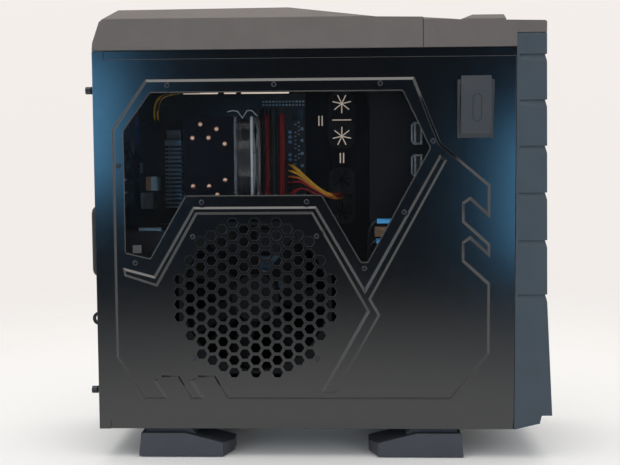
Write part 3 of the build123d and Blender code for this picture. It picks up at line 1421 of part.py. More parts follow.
NODES = {
    "chassis_floor": chassis_floor,
    "chassis_roof": chassis_roof,
    "chassis_rear_wall": chassis_rear_wall,
    "chassis_front_wall": chassis_front_wall,
    "motherboard_tray": motherboard_tray,
    "cable_grommets": cable_grommets,
    "drive_bay_cage": drive_bay_cage,
    "drive_bay_locks": drive_bay_locks,
    "hard_drive_cage": hard_drive_cage,
    "hard_drives": hard_drives,
    "top_cover": top_cover,
    "top_mesh": top_mesh,
    "front_console": front_console,
    "console_ports": console_ports,
    "front_bezel": front_bezel,
    "bay_covers": bay_covers,
    "front_mesh": front_mesh,
    "feet": feet,
    "foot_pads": foot_pads,
    "slot_covers": slot_covers,
    "slot_guard": slot_guard,
    "padlock_loop": padlock_loop,
    "power_supply": power_supply,
    "psu_inlet": psu_inlet,
    "motherboard": motherboard,
    "standoffs": standoffs,
    "io_shield": io_shield,
    "rear_io_ports": rear_io_ports,
    "cpu_socket": cpu_socket,
    "cooler_base": cooler_base,
    "cooler_fins": cooler_fins,
    "heat_pipes": heat_pipes,
    "memory_slots": memory_slots,
    "memory_modules": memory_modules,
    "board_heatsinks": board_heatsinks,
    "expansion_slots": expansion_slots,
    "graphics_card": graphics_card,
    "power_cable": power_cable,
    "top_fan_frame": lambda: big_frame(top_fan_place()),
    "front_fan_frame": lambda: big_frame(front_fan_place()),
    "rear_fan_frame": lambda: small_frame(rear_fan_place()),
    "cooler_fan_frame": lambda: small_frame(cooler_fan_place()),
    "top_fan_rotor": lambda: big_rotor(top_fan_place()),
    "front_fan_rotor": lambda: big_rotor(front_fan_place()),
    "rear_fan_rotor": lambda: small_rotor(rear_fan_place()),
    "cooler_fan_rotor": lambda: small_rotor(cooler_fan_place()),
    "psu_switch": psu_switch,
    "power_button": power_button,
    "reset_button": reset_button,
    "right_side_panel": right_side_panel,
    "right_thumbscrews": right_thumbscrews,
    "side_panel": side_panel,
    "side_window": side_window,
    "panel_screws": panel_screws,
    "side_fan_frame": lambda: big_frame(side_fan_place()),
    "side_fan_rotor": lambda: big_rotor(side_fan_place()),
    "latch_base": latch_base,
    "latch_paddle": latch_paddle,
    "latch_pin": latch_pin,
    "left_thumbscrews": thumbscrews,
}

os.makedirs("parts", exist_ok=True)
for name, make in NODES.items():
    export_step(make(), f"parts/{name}.step")
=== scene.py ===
import math

import bpy
from mathutils import Matrix, Vector


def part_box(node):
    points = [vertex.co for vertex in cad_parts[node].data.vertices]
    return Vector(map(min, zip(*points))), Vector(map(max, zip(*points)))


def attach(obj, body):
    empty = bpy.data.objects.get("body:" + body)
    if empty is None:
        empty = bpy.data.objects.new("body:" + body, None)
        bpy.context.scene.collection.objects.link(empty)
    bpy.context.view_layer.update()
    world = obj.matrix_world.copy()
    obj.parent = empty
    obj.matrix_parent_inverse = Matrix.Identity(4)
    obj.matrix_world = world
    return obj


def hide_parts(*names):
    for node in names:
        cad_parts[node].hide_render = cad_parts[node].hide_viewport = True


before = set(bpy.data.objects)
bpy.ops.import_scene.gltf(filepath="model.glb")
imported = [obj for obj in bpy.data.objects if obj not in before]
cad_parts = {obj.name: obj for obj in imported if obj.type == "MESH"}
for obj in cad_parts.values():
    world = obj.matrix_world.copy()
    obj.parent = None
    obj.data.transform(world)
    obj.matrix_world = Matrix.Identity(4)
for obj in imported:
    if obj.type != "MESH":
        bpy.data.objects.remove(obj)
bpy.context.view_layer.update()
bpy.context.scene.view_settings.view_transform = "Standard"

MM = 0.001

# Places in metres, read from the frame
PANEL_LOW, PANEL_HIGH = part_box("side_panel")
REAR_Y = PANEL_HIGH.y
SILL_Z = PANEL_LOW.z
BOARD_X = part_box("motherboard")[0].x
FINS_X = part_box("cooler_fins")[0].x
WINDOW_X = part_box("side_window")[0].x
TRAY_LOW, TRAY_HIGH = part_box("motherboard_tray")
SLOTS_LOW, SLOTS_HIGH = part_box("memory_slots")
PORTS_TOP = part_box("rear_io_ports")[1].z
FAN_LOW, FAN_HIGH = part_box("cooler_fan_frame")
CAGE_WALL_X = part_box("drive_bay_locks")[1].x
COVERS_LOW, COVERS_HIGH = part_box("bay_covers")

# Camera, fitted to the outline of the panel
CAMERA_PLACE = Vector((-1.4016, -0.0345, 0.3902))
CAMERA_FORWARD = Vector((0.99689, 0.03548, -0.0703))
CAMERA_UP = Vector((0.0705, -0.00434, 0.9975))
CAMERA_LENS = 58.06
SENSOR_WIDTH = 36.0


# Shader arithmetic


class Term:
    """A value in a shader tree, which Python's operators turn into Math nodes."""

    def __init__(self, nodes, socket):
        self.nodes = nodes
        self.socket = socket

    def joined(self, operation, first, second):
        return self.nodes.add("ShaderNodeMath", {"operation": operation}, {0: first, 1: second})

    def __add__(self, other):
        return self.joined("ADD", self, other)

    __radd__ = __add__

    def __sub__(self, other):
        return self.joined("SUBTRACT", self, other)

    def __rsub__(self, other):
        return self.joined("SUBTRACT", other, self)

    def __mul__(self, other):
        return self.joined("MULTIPLY", self, other)

    __rmul__ = __mul__

    def __gt__(self, other):
        return self.joined("GREATER_THAN", self, other)

    def __lt__(self, other):
        return self.joined("LESS_THAN", self, other)


def set_stops(ramp, stops):
    """Give a colour ramp grey stops, each a position and its level."""
    while len(ramp.elements) < len(stops):
        ramp.elements.new(0.5)
    for element, (position, level) in zip(ramp.elements, stops):
        element.position = position
        element.color = (level, level, level, 1.0)


def shade(colour, share):
    """The colour, darker or lighter by a share."""
    return tuple(share * level for level in colour)


def uneven(middle, spread, pattern):
    """A value that a pattern moves by a spread to either side of its middle."""
    return (middle - spread) + 2 * spread * pattern


class Nodes:
    """A shader tree to which nodes are added."""

    def __init__(self, tree):
        self.tree = tree

    def feed(self, node, inputs):
        for key, value in inputs.items():
            if isinstance(value, Term):
                self.tree.links.new(value.socket, node.inputs[key])
            elif isinstance(value, tuple) and node.inputs[key].type == "RGBA":
                node.inputs[key].default_value = (*value[:3], 1.0)
            else:
                node.inputs[key].default_value = value

    def add(self, kind, settings, inputs, output=0):
        node = self.tree.nodes.new(kind)
        for key, value in settings.items():
            if key == "stops":
                set_stops(node.color_ramp, value)
            else:
                setattr(node, key, value)
        self.feed(node, inputs)
        return Term(self, node.outputs[output])

    def ramp(self, value, *stops):
        """Level read off straight lines between stops, each a position and its level."""
        return self.add("ShaderNodeValToRGB", {"stops": stops}, {"Fac": value})

    def blended(self, factor, first, second):
        """First colour where the factor is 0, second where it is 1."""
        settings = {"data_type": "RGBA"}
        return self.add("ShaderNodeMix", settings, {0: factor, 6: first, 7: second}, 2)


class Finish(Nodes):
    """A material round one Principled shader, patterned in the object's own coordinates."""

    def __init__(self, name, **values):
        self.material = bpy.data.materials.new(name)
        self.material.use_nodes = True
        super().__init__(self.material.node_tree)
        self.shader = self.tree.nodes["Principled BSDF"]
        self.set(**values)
        self.place = self.add("ShaderNodeTexCoord", {}, {}, "Object")

    def set(self, **values):
        self.feed(self.shader, {key.replace("_", " "): value for key, value in values.items()})
        return self

    def noise(self, size, detail=3.0, where=None):
        """Soft noise whose lumps are about size metres across."""
        inputs = {"Vector": where or self.place, "Scale": 1.0 / size, "Detail": detail}
        return self.add("ShaderNodeTexNoise", {}, inputs, "Fac")

    def mottled(self, size, colour, dark, light, detail=3.0):
        """The colour, drifting between a darker and a lighter share of itself."""
        return self.blended(self.noise(size, detail), shade(colour, dark), shade(colour, light))

    def stretched(self, scale):
        return self.add("ShaderNodeMapping", {}, {"Vector": self.place, "Scale": scale})

    def axis(self, letter):
        return self.add("ShaderNodeSeparateXYZ", {}, {0: self.place}, letter)

    def between(self, letter, low, high):
        """1 where the place along an axis lies between two values."""
        along = self.axis(letter)
        return (along > low) * (along < high)

    def rounded(self, radius):
        """Normal that looks as if the edges had a small radius."""
        return self.add("ShaderNodeBevel", {"samples": 6}, {"Radius": radius})

    def edge_wear_and_sheen(self, radius):
        """1 on edges and corners, 0 on flat faces: the mask for painting edges lighter, as wear and as
        highlight.
        """
        flat = self.add("ShaderNodeNewGeometry", {}, {}, "Normal")
        settings = {"operation": "DOT_PRODUCT"}
        level = self.add("ShaderNodeVectorMath", settings, {0: self.rounded(radius), 1: flat}, "Value")
        return self.ramp(1 - level, (0.004, 0.0), (0.12, 1.0))

    def bumped(self, height, depth, edge):
        """Relief of a depth on edges rounded by a small radius."""
        inputs = {"Height": height, "Distance": depth, "Normal": self.rounded(edge)}
        return self.set(Normal=self.add("ShaderNodeBump", {}, inputs))


# Finishes

POLYMER_IOR = 1.5
GRAINED_IOR = 1.48
EVEN_LAY = (1.0, 1.0, 1.0)

# Patterns on the board and its connectors, in repeats per metre
RUNS_SCALE = 260.0
PADS_SCALE = 240.0
CELLS_SCALE = 95.0

# Depths to which one colour of a two-coloured moulding reaches; at FLANGE the second colour is a painted
# highlight on the cooler fan's flanges
FLANGE = 3.2 * MM
SLOT_WIDTH = 6.6 * MM
SLOT_LATCH = 9.0 * MM
CAP_PLATE = 1.3 * MM
PORT_RIM = 2.4 * MM
BLUE_PORTS = 60 * MM
RED_PORT = 22 * MM


def satin_paint(name, colour, roughness, gloss=1.0, edge=0.7 * MM):
    """Baked paint on steel: fine orange peel, faint cloudiness, rounded edges."""
    finish = Finish(name, IOR=POLYMER_IOR, Specular_IOR_Level=gloss)
    finish.set(Base_Color=finish.mottled(90 * MM, colour, 0.86, 1.14, 2.0))
    finish.set(Roughness=uneven(roughness, 0.03, finish.noise(12 * MM)))
    return finish.bumped(finish.noise(1.1 * MM, 2.0), 0.012 * MM, edge)


def grained_plastic(name, colour, roughness, grain=0.7 * MM, depth=0.09 * MM):
    """Spark-eroded plastic: pebbled grain, cloudy colour, edges a little lighter in patches, partly rubbed wear
    and partly a painted highlight.
    """
    finish = Finish(name, IOR=GRAINED_IOR, Specular_IOR_Level=0.45)
    pebble = finish.noise(grain, 2.0)
    body = finish.mottled(35 * MM, colour, 0.85, 1.12, 4.0)
    # Paler edge colour, in patches: part rubbed wear, part painted highlight.
    pale = tuple(1.7 * level + 0.01 for level in colour)
    patches = finish.ramp(finish.noise(8 * MM), (0.35, 0.0), (0.7, 0.25))
    finish.set(Base_Color=finish.blended(finish.edge_wear_and_sheen(1.2 * MM) * patches, body, pale))
    finish.set(Roughness=uneven(roughness, 0.06, pebble))
    return finish.bumped(pebble, depth, 1.0 * MM)


def smooth_plastic(name, colour, roughness, gloss=0.5):
    """Polished moulding with a faint ripple."""
    finish = Finish(name, IOR=POLYMER_IOR, Specular_IOR_Level=gloss)
    finish.set(Base_Color=finish.mottled(20 * MM, colour, 0.88, 1.1))
    finish.set(Roughness=uneven(roughness, 0.05, finish.noise(4 * MM)))
    return finish.bumped(finish.noise(3 * MM), 0.01 * MM, 0.4 * MM)


def edged_plastic(name, colour, rim):
    """Dark moulding with a painted highlight of a paler colour on its edges."""
    finish = Finish(name, IOR=POLYMER_IOR)
    # The rim colour on the edges is a painted highlight.
    finish.set(Base_Color=finish.blended(finish.edge_wear_and_sheen(1.6 * MM), colour, rim))
    finish.set(Roughness=uneven(0.45, 0.05, finish.noise(3 * MM)))
    return finish.bumped(finish.noise(3 * MM), 0.01 * MM, 0.6 * MM)


def marked_metal(name, roughness, lay):
    """Metal with the lay of its rolling or turning marks, for its colour to be added."""
    finish = Finish(name, Metallic=1.0)
    marks = finish.noise(1.2 * MM, 4.0, finish.stretched(lay))
    finish.set(Roughness=uneven(roughness, 0.08, marks))
    return finish.bumped(marks, 0.008 * MM, 0.3 * MM)


def metal(name, colour, roughness, lay=EVEN_LAY):
    """Bare metal of one colour, lightly stained."""
    finish = marked_metal(name, roughness, lay)
    return finish.set(Base_Color=finish.mottled(15 * MM, colour, 0.82, 1.0))


def rubber(name):
    """Dull black rubber with a fine grain."""
    finish = Finish(name, IOR=POLYMER_IOR, Specular_IOR_Level=0.3)
    grain = finish.noise(0.8 * MM)
    finish.set(Base_Color=finish.blended(finish.noise(10 * MM), (0.008, 0.008, 0.009), (0.016, 0.016, 0.017)))
    finish.set(Roughness=uneven(0.80, 0.08, grain))
    return finish.bumped(grain, 0.06 * MM, 0.5 * MM)


def clear_sheet(name):
    """Acrylic: clear straight on, mirror-like at a low angle."""
    finish = Finish(name, Base_Color=(0.90, 0.95, 1.0), Metallic=1.0)
    slant = finish.add("ShaderNodeLayerWeight", {}, {"Blend": 0.5}, "Facing")
    square = slant * slant
    finish.set(Alpha=0.05 + 0.9 * (square * square * slant))
    return finish.set(Roughness=uneven(0.055, 0.025, finish.noise(20 * MM, 4.0)))


def clear_plastic(name):
    """Smoky clear moulding, denser at its two flanges, with painted highlights on the flanges, brightest on the
    front one.
    """
    finish = Finish(name, IOR=POLYMER_IOR, Specular_IOR_Level=0.9)
    along = finish.axis("Y")
    front = along < FAN_LOW.y + FLANGE
    rear = along > FAN_HIGH.y - FLANGE
    body = finish.blended(finish.noise(30 * MM), (0.022, 0.023, 0.025), (0.042, 0.044, 0.048))
    # The paler flange colours are painted highlights, the front one brightest.
    flange = finish.blended(rear, body, (0.09, 0.10, 0.115))
    finish.set(Base_Color=finish.blended(front, flange, (0.30, 0.325, 0.35)))
    finish.set(Alpha=0.5 + 0.2 * rear + 0.3 * front)
    finish.set(Roughness=uneven(0.17, 0.05, finish.noise(6 * MM)))
    return finish.bumped(finish.noise(4 * MM), 0.02 * MM, 0.5 * MM)


def circuit_board(name, mask):
    """Dark solder mask with faint copper runs and a few small pads."""
    finish = Finish(name, IOR=POLYMER_IOR)
    settings = {"feature": "DISTANCE_TO_EDGE", "distance": "EUCLIDEAN"}
    inputs = {"Vector": finish.place, "Scale": RUNS_SCALE}
    runs = finish.add("ShaderNodeTexVoronoi", settings, inputs, "Distance")
    line = finish.ramp(runs, (0.03, 1.0), (0.08, 0.0))
    inputs = {"Vector": finish.place, "Scale": PADS_SCALE}
    pads = finish.add("ShaderNodeTexVoronoi", {}, inputs, "Distance")
    crowd = finish.ramp(finish.noise(12 * MM, 2.0), (0.44, 0.0), (0.56, 1.0))
    dot = finish.ramp(pads, (0.10, 1.0), (0.14, 0.0)) * crowd
    ground = finish.blended(line * 0.8, mask, shade(mask, 3.0))
    finish.set(Base_Color=finish.blended(dot * 0.6, ground, (0.30, 0.28, 0.22)))
    finish.set(Roughness=0.38 - 0.1 * dot, Metallic=dot * 0.6)
    return finish.bumped(line, 0.03 * MM, 0.3 * MM)


def celled_plastic(name):
    """Moulded connector with a row of contact cells up the case, and the mask of its ribs."""
    finish = Finish(name, IOR=POLYMER_IOR, Specular_IOR_Level=0.15)
    settings = {"wave_type": "BANDS", "bands_direction": "Z"}
    inputs = {"Vector": finish.place, "Scale": CELLS_SCALE}
    ribs = finish.ramp(finish.add("ShaderNodeTexWave", settings, inputs, "Fac"), (0.25, 0.0), (0.5, 1.0))
    finish.set(Roughness=uneven(0.35, 0.05, finish.noise(3 * MM)))
    return finish.bumped(ribs, 0.3 * MM, 0.3 * MM), ribs


def slot_plastic(name, colour):
    """Connector of one colour, with painted shade in its recessed cells."""
    finish, ribs = celled_plastic(name)
    # The darker colour in the cells is painted shade.
    return finish.set(Base_Color=finish.blended(ribs, shade(colour, 0.35), colour))


def memory_slot_plastic(name):
    """Slots in turn red and black, each with a grey latch at its upper end."""
    finish = celled_plastic(name)[0]
    step = (SLOTS_HIGH.y - SLOTS_LOW.y - SLOT_WIDTH) / 3
    first = finish.between("Y", SLOTS_LOW.y - step / 2, SLOTS_LOW.y + SLOT_WIDTH)
    third = finish.between("Y", SLOTS_LOW.y + 1.8 * step, SLOTS_LOW.y + 2 * step + SLOT_WIDTH)
    body = finish.blended(first + third, (0.012, 0.012, 0.014), (0.32, 0.008, 0.014))
    grey = finish.blended(finish.noise(4 * MM), (0.030, 0.031, 0.033), (0.044, 0.045, 0.048))
    latch = finish.axis("Z") > SLOTS_HIGH.z - SLOT_LATCH
    return finish.set(Base_Color=finish.blended(latch, body, grey))


def cooler_fin_metal(name):
    """Plain aluminium fins under a dark cap plate."""
    finish = marked_metal(name, 0.34, (1.0, 0.2, 0.2))
    cap = finish.axis("X") < FINS_X + CAP_PLATE
    stain = finish.noise(20 * MM)
    fins = finish.blended(stain, (0.5, 0.52, 0.55), (0.62, 0.64, 0.66))
    plate = finish.blended(stain, (0.002, 0.0025, 0.0045), (0.003, 0.0036, 0.0065))
    finish.set(Base_Color=finish.blended(cap, fins, plate), Metallic=1 - cap)
    return finish.set(Specular_IOR_Level=0.06)


def port_metal(name):
    """Nickelled shells whose sockets are black, with a blue pair and a red one."""
    finish = marked_metal(name, 0.3, EVEN_LAY)
    inside = finish.axis("Y") < REAR_Y - PORT_RIM
    height = finish.axis("Z")
    tongue = finish.blended(height > PORTS_TOP - BLUE_PORTS, (0.008, 0.008, 0.009), (0.012, 0.06, 0.32))
    tongue = finish.blended(height > PORTS_TOP - RED_PORT, tongue, (0.30, 0.012, 0.016))
    shell = finish.blended(finish.noise(15 * MM), (0.45, 0.45, 0.46), (0.58, 0.58, 0.59))
    return finish.set(Base_Color=finish.blended(inside, shell, tongue), Metallic=1 - inside)


def filter_foam(name):
    """Open black foam of a dust filter, with painted shade in its pores."""
    finish = Finish(name, Roughness=0.9, Specular_IOR_Level=0.2)
    cells = finish.noise(1.6 * MM)
    pores = finish.ramp(cells, (0.4, 0.0), (0.6, 1.0))
    # The darker colour in the sunken pores is painted shade.
    finish.set(Base_Color=finish.blended(pores, (0.003, 0.003, 0.003), (0.016, 0.016, 0.017)))
    return finish.bumped(cells, 0.6 * MM, 0.3 * MM)


def wire_skin(name, colour):
    """Smooth insulation, a little uneven in colour and gloss."""
    finish = Finish(name, IOR=POLYMER_IOR)
    grain = finish.noise(6 * MM)
    finish.set(Base_Color=finish.blended(grain, shade(colour, 0.8), colour))
    return finish.set(Roughness=uneven(0.375, 0.075, grain))


PANEL_PAINT = satin_paint("panel_paint", (0.0016, 0.0018, 0.0024), 0.17, edge=0.8 * MM)
CHASSIS_PAINT = satin_paint("chassis_paint", (0.008, 0.008, 0.009), 0.42, gloss=0.45)
CAGE_PAINT = satin_paint("cage_paint", (0.0040, 0.0043, 0.0050), 0.5, gloss=0.1)
MESH_PAINT = satin_paint("mesh_paint", (0.008, 0.008, 0.009), 0.55, edge=0.4 * MM)
COVER_PLASTIC = grained_plastic("cover_plastic", (0.106, 0.093, 0.086), 0.62)
BEZEL_PLASTIC = grained_plastic("bezel_plastic", (0.039, 0.055, 0.069), 0.55, 0.6 * MM, 0.06 * MM)
LATCH_PLASTIC = grained_plastic("latch_plastic", (0.036, 0.040, 0.046), 0.5, 0.6 * MM, 0.04 * MM)
FOOT_PLASTIC = grained_plastic("foot_plastic", (0.042, 0.045, 0.055), 0.5)
BLACK_PLASTIC = grained_plastic("black_plastic", (0.012, 0.012, 0.013), 0.5, 0.6 * MM, 0.05 * MM)
FAN_PLASTIC = smooth_plastic("fan_plastic", (0.008, 0.008, 0.010), 0.34)
SIDE_FAN = smooth_plastic("side_fan_plastic", (0.005, 0.0052, 0.006), 0.5, gloss=0.06)
# The pale blue-grey rim is a painted highlight on the lock edges.
LOCK_PLASTIC = edged_plastic("lock_plastic", (0.016, 0.018, 0.020), (0.30, 0.36, 0.40))
SLOT_BLACK = slot_plastic("slot_black", (0.03, 0.03, 0.034))
SLOT_RED = slot_plastic("slot_red", (0.36, 0.014, 0.022))
MEMORY_SLOTS = memory_slot_plastic("memory_slots")
MODULE_BOARD = circuit_board("module_board", (0.006, 0.012, 0.009))
BOARD = circuit_board("board", (0.009, 0.012, 0.013))
CARD_BOARD = circuit_board("card_board", (0.010, 0.010, 0.012))
FIN_METAL = cooler_fin_metal("fin_metal")
PORT_METAL = port_metal("port_metal")
DARK_METAL = metal("dark_metal", (0.30, 0.37, 0.44), 0.42, (1.0, 0.2, 1.0))
STEEL = metal("steel", (0.55, 0.55, 0.56), 0.34, (1.0, 0.1, 1.0))
COPPER = metal("copper", (0.96, 0.62, 0.47), 0.36, (0.1, 1.0, 1.0))
BRASS = metal("brass", (0.72, 0.55, 0.25), 0.3)
DARK_STEEL = metal("dark_steel", (0.08, 0.08, 0.088), 0.24)
DRIVE_METAL = metal("drive_metal", (0.3, 0.31, 0.32), 0.4)
CAN_BLUE = metal("can_blue", (0.30, 0.46, 0.66), 0.3)
CAN_GREY = metal("can_grey", (0.42, 0.43, 0.44), 0.35)
TAN_PLASTIC = smooth_plastic("tan_plastic", (0.22, 0.14, 0.075), 0.45)
PALE_BLUE = smooth_plastic("pale_blue", (0.22, 0.36, 0.46), 0.4)
PALE_GREY = smooth_plastic("pale_grey", (0.42, 0.43, 0.44), 0.4)
WIRE_YELLOW = wire_skin("wire_yellow", (0.78, 0.42, 0.035))
WIRE_ORANGE = wire_skin("wire_orange", (0.72, 0.20, 0.02))
WIRE_RED = wire_skin("wire_red", (0.40, 0.012, 0.014))
WIRE_BLACK = wire_skin("wire_black", (0.012, 0.012, 0.013))
WIRE_BLUE = wire_skin("wire_blue", (0.06, 0.42, 0.85))
FOAM = filter_foam("foam")
WINDOW = clear_sheet("window")
CLEAR_FAN = clear_plastic("clear_fan")
RUBBER = rubber("rubber")

NODES_WITH = {
    PANEL_PAINT: ["side_panel", "right_side_panel"],
    CHASSIS_PAINT: [
        "chassis_floor", "chassis_roof", "chassis_rear_wall", "chassis_front_wall",
        "slot_covers", "padlock_loop", "power_supply",
    ],
    CAGE_PAINT: ["motherboard_tray", "drive_bay_cage", "hard_drive_cage"],
    MESH_PAINT: ["top_mesh", "front_mesh"],
    COVER_PLASTIC: ["top_cover", "front_console", "power_button", "reset_button"],
    BEZEL_PLASTIC: ["front_bezel", "bay_covers"],
    LATCH_PLASTIC: ["latch_base", "latch_paddle"],
    FOOT_PLASTIC: ["feet"],
    BLACK_PLASTIC: ["slot_guard", "psu_inlet", "psu_switch"],
    FAN_PLASTIC: [
        "top_fan_frame", "front_fan_frame", "rear_fan_frame",
        "top_fan_rotor", "front_fan_rotor", "rear_fan_rotor",
    ],
    SIDE_FAN: ["side_fan_frame", "side_fan_rotor"],
    CLEAR_FAN: ["cooler_fan_frame", "cooler_fan_rotor"],
    LOCK_PLASTIC: ["drive_bay_locks"],
    MEMORY_SLOTS: ["memory_slots"],
    SLOT_BLACK: ["expansion_slots"],
    MODULE_BOARD: ["memory_modules"],
    BOARD: ["motherboard"],
    CARD_BOARD: ["graphics_card"],
    FIN_METAL: ["cooler_fins"],
    DARK_METAL: ["board_heatsinks"],
    PORT_METAL: ["rear_io_ports"],
    STEEL: ["io_shield", "console_ports", "cpu_socket", "latch_pin"],
    COPPER: ["heat_pipes", "cooler_base"],
    BRASS: ["standoffs"],
    DARK_STEEL: ["left_thumbscrews", "right_thumbscrews", "panel_screws"],
    DRIVE_METAL: ["hard_drives"],
    WINDOW: ["side_window"],
    RUBBER: ["cable_grommets", "foot_pads"],
    WIRE_BLACK: ["power_cable"],
}


# Modelling by hand

BAR_SIDES = 20
SOFT_SEGMENTS = 2
RIM_SEGMENTS = 4
WIRE_FACETS = 3
SMOOTH_ANGLE = 35.0
FACING = 0.9
MERGE_REACH = 0.01 * MM


def begin(add, **settings):
    """Start a piece from a primitive, with nothing else selected."""
    bpy.ops.object.select_all(action="DESELECT")
    add(**settings)
    return bpy.context.object


def apply_place(piece):
    """Put the object's place, turn and size into its mesh."""
    bpy.ops.object.select_all(action="DESELECT")
    piece.select_set(True)
    bpy.context.view_layer.objects.active = piece
    bpy.ops.object.transform_apply(location=True, rotation=True, scale=True)


def pick_faces(piece, test):
    """Enter edit mode with only the faces selected whose centre and normal pass the test."""
    bpy.context.view_layer.objects.active = piece
    bpy.ops.object.mode_set(mode="EDIT")
    bpy.ops.mesh.select_mode(type="FACE")
    bpy.ops.mesh.select_all(action="DESELECT")
    bpy.ops.object.mode_set(mode="OBJECT")
    for polygon in piece.data.polygons:
        polygon.select = bool(test(polygon.center, polygon.normal))
    bpy.ops.object.mode_set(mode="EDIT")


def sink_faces(piece, test, rim, depth):
    """Inset the faces that pass the test and press them in."""
    pick_faces(piece, test)
    bpy.ops.mesh.inset(thickness=rim, depth=-depth, use_individual=True)
    bpy.ops.object.mode_set(mode="OBJECT")


def cut_faces(piece, test, cuts):
    """Divide the faces that pass the test."""
    pick_faces(piece, test)
    bpy.ops.mesh.subdivide(number_cuts=cuts)
    bpy.ops.object.mode_set(mode="OBJECT")


def round_rim(piece, test, radius):
    """Round the edges of the faces that pass the test."""
    pick_faces(piece, test)
    bpy.ops.mesh.bevel(offset=radius, segments=RIM_SEGMENTS, affect="EDGES")
    bpy.ops.object.mode_set(mode="OBJECT")


def merge_corners(piece):
    """Join the loose triangles of a mesh that was copied from a CAD node."""
    pick_faces(piece, every_face)
    bpy.ops.mesh.remove_doubles(threshold=MERGE_REACH)
    bpy.ops.object.mode_set(mode="OBJECT")


def soften(piece, radius):
    """Round the sharp edges."""
    bpy.context.view_layer.objects.active = piece
    rounding = piece.modifiers.new("rounding", "BEVEL")
    rounding.width = radius
    rounding.segments = SOFT_SEGMENTS
    rounding.limit_method = "ANGLE"
    bpy.ops.object.modifier_apply(modifier=rounding.name)


def cut_away(piece, tool):
    """Take the tool's shape out of the piece."""
    bpy.context.view_layer.objects.active = piece
    cut = piece.modifiers.new("cut", "BOOLEAN")
    cut.operation = "DIFFERENCE"
    cut.object = tool
    bpy.ops.object.modifier_apply(modifier=cut.name)
    bpy.data.objects.remove(tool)


def block(corner, opposite):
    """Square block between two opposite corners."""
    low = Vector(map(min, corner, opposite))
    high = Vector(map(max, corner, opposite))
    piece = begin(bpy.ops.mesh.primitive_cube_add, size=1.0, location=(low + high) / 2)
    piece.scale = high - low
    apply_place(piece)
    return piece


def stud(start, end, radius, sides=BAR_SIDES):
    """Round bar between two points."""
    start, end = Vector(start), Vector(end)
    size = {"vertices": sides, "radius": radius, "depth": (end - start).length}
    turn = (end - start).to_track_quat("Z", "Y").to_euler()
    piece = begin(bpy.ops.mesh.primitive_cylinder_add, location=(start + end) / 2, rotation=turn, **size)
    apply_place(piece)
    return piece


def wire(points, radius, smooth=True):
    """Round wire through a few points, made a mesh."""
    curve = bpy.data.curves.new("wire", "CURVE")
    curve.dimensions = "3D"
    curve.bevel_depth = radius
    curve.bevel_resolution = WIRE_FACETS
    curve.use_fill_caps = True
    spline = curve.splines.new("NURBS" if smooth else "POLY")
    spline.points.add(len(points) - 1)
    for point, place in zip(spline.points, points):
        point.co = (*place, 1.0)
    if smooth:
        spline.order_u = 3
        spline.use_endpoint_u = True
    piece = bpy.data.objects.new("wire", curve)
    bpy.context.scene.collection.objects.link(piece)
    bpy.ops.object.select_all(action="DESELECT")
    piece.select_set(True)
    bpy.context.view_layer.objects.active = piece
    bpy.ops.object.convert(target="MESH")
    return bpy.context.object


def copied(part, move):
    """Copy of a part with a mesh of its own, moved."""
    twin = part.copy()
    twin.data = part.data.copy()
    twin.data.transform(Matrix.Translation(move))
    bpy.context.scene.collection.objects.link(twin)
    return twin


def repeated(part, places):
    """Copies of a part modelled at the origin, one at each place."""
    twins = [copied(part, place) for place in places]
    bpy.data.objects.remove(part)
    return twins


def dress(piece, finish):
    """Give the piece one finish all over."""
    piece.data.materials.clear()
    piece.data.materials.append(finish.material)
    return piece


def assemble(parts, name, body, angle=SMOOTH_ANGLE):
    """Join the parts of one piece, smooth it and let it ride on its body."""
    bpy.ops.object.select_all(action="DESELECT")
    for part in parts:
        part.select_set(True)
    bpy.context.view_layer.objects.active = parts[0]
    if len(parts) > 1:
        bpy.ops.object.join()
    piece = bpy.context.object
    piece.name = name
    piece.data.name = name
    bpy.ops.object.shade_smooth_by_angle(angle=math.radians(angle))
    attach(piece, body)
    return piece


def spot(forward, up, x):
    """Place given in millimetres forward of the rear edge and up from the panel's lower edge."""
    return Vector((x, REAR_Y - forward * MM, SILL_Z + up * MM))


def solids_of(node, reach):
    """Lowest and highest corners of a node's separate solids, told apart by their distance."""
    groups = []
    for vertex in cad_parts[node].data.vertices:
        near = [group for group in groups if (group[0] - vertex.co).length < reach]
        if near:
            near[0].append(vertex.co.copy())
        else:
            groups.append([vertex.co.copy()])
    return [(Vector(map(min, *group)), Vector(map(max, *group))) for group in groups]


def every_face(centre, normal):
    return True


def faces_window(centre, normal):
    return normal.x < -FACING


def faces_front(centre, normal):
    return normal.y < -FACING


def faces_rear(centre, normal):
    return normal.y > FACING


# Screws

HEAD_HEIGHT = 2.0 * MM
HEAD_RADIUS = 3.6 * MM
SCREW_APART = 20 * MM
KNURL_SIDES = 40
KNURL_RADIUS = 4.8 * MM
KNURL_LENGTH = 7.0 * MM
THUMBSCREW_APART = 40 * MM


def button_head():
    """Domed head with a hexagon socket, its outer face towards -X and its seat at the origin."""
    head = stud((0, 0, 0), (-HEAD_HEIGHT, 0, 0), HEAD_RADIUS, 28)
    round_rim(head, faces_window, 0.72 * HEAD_HEIGHT)
    socket = stud((-1.2 * HEAD_HEIGHT, 0, 0), (-0.45 * HEAD_HEIGHT, 0, 0), 0.46 * HEAD_RADIUS, 6)
    cut_away(head, socket)
    return dress(head, DARK_STEEL)


def panel_screws():
    """Button-head screws of the window and of the fan."""
    seats = []
    for low, high in solids_of("panel_screws", SCREW_APART):
        middle = (low + high) / 2
        seats.append(Vector((low.x + HEAD_HEIGHT, middle.y, middle.z)))
    shank = dress(stud((0, 0, 0), (3.5 * MM, 0, 0), 1.45 * MM, 12), DARK_STEEL)
    soften(shank, 0.3 * MM)
    parts = repeated(button_head(), seats) + repeated(shank, seats)
    screws = assemble(parts, "button_screws", "left_panel")
    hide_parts("panel_screws")


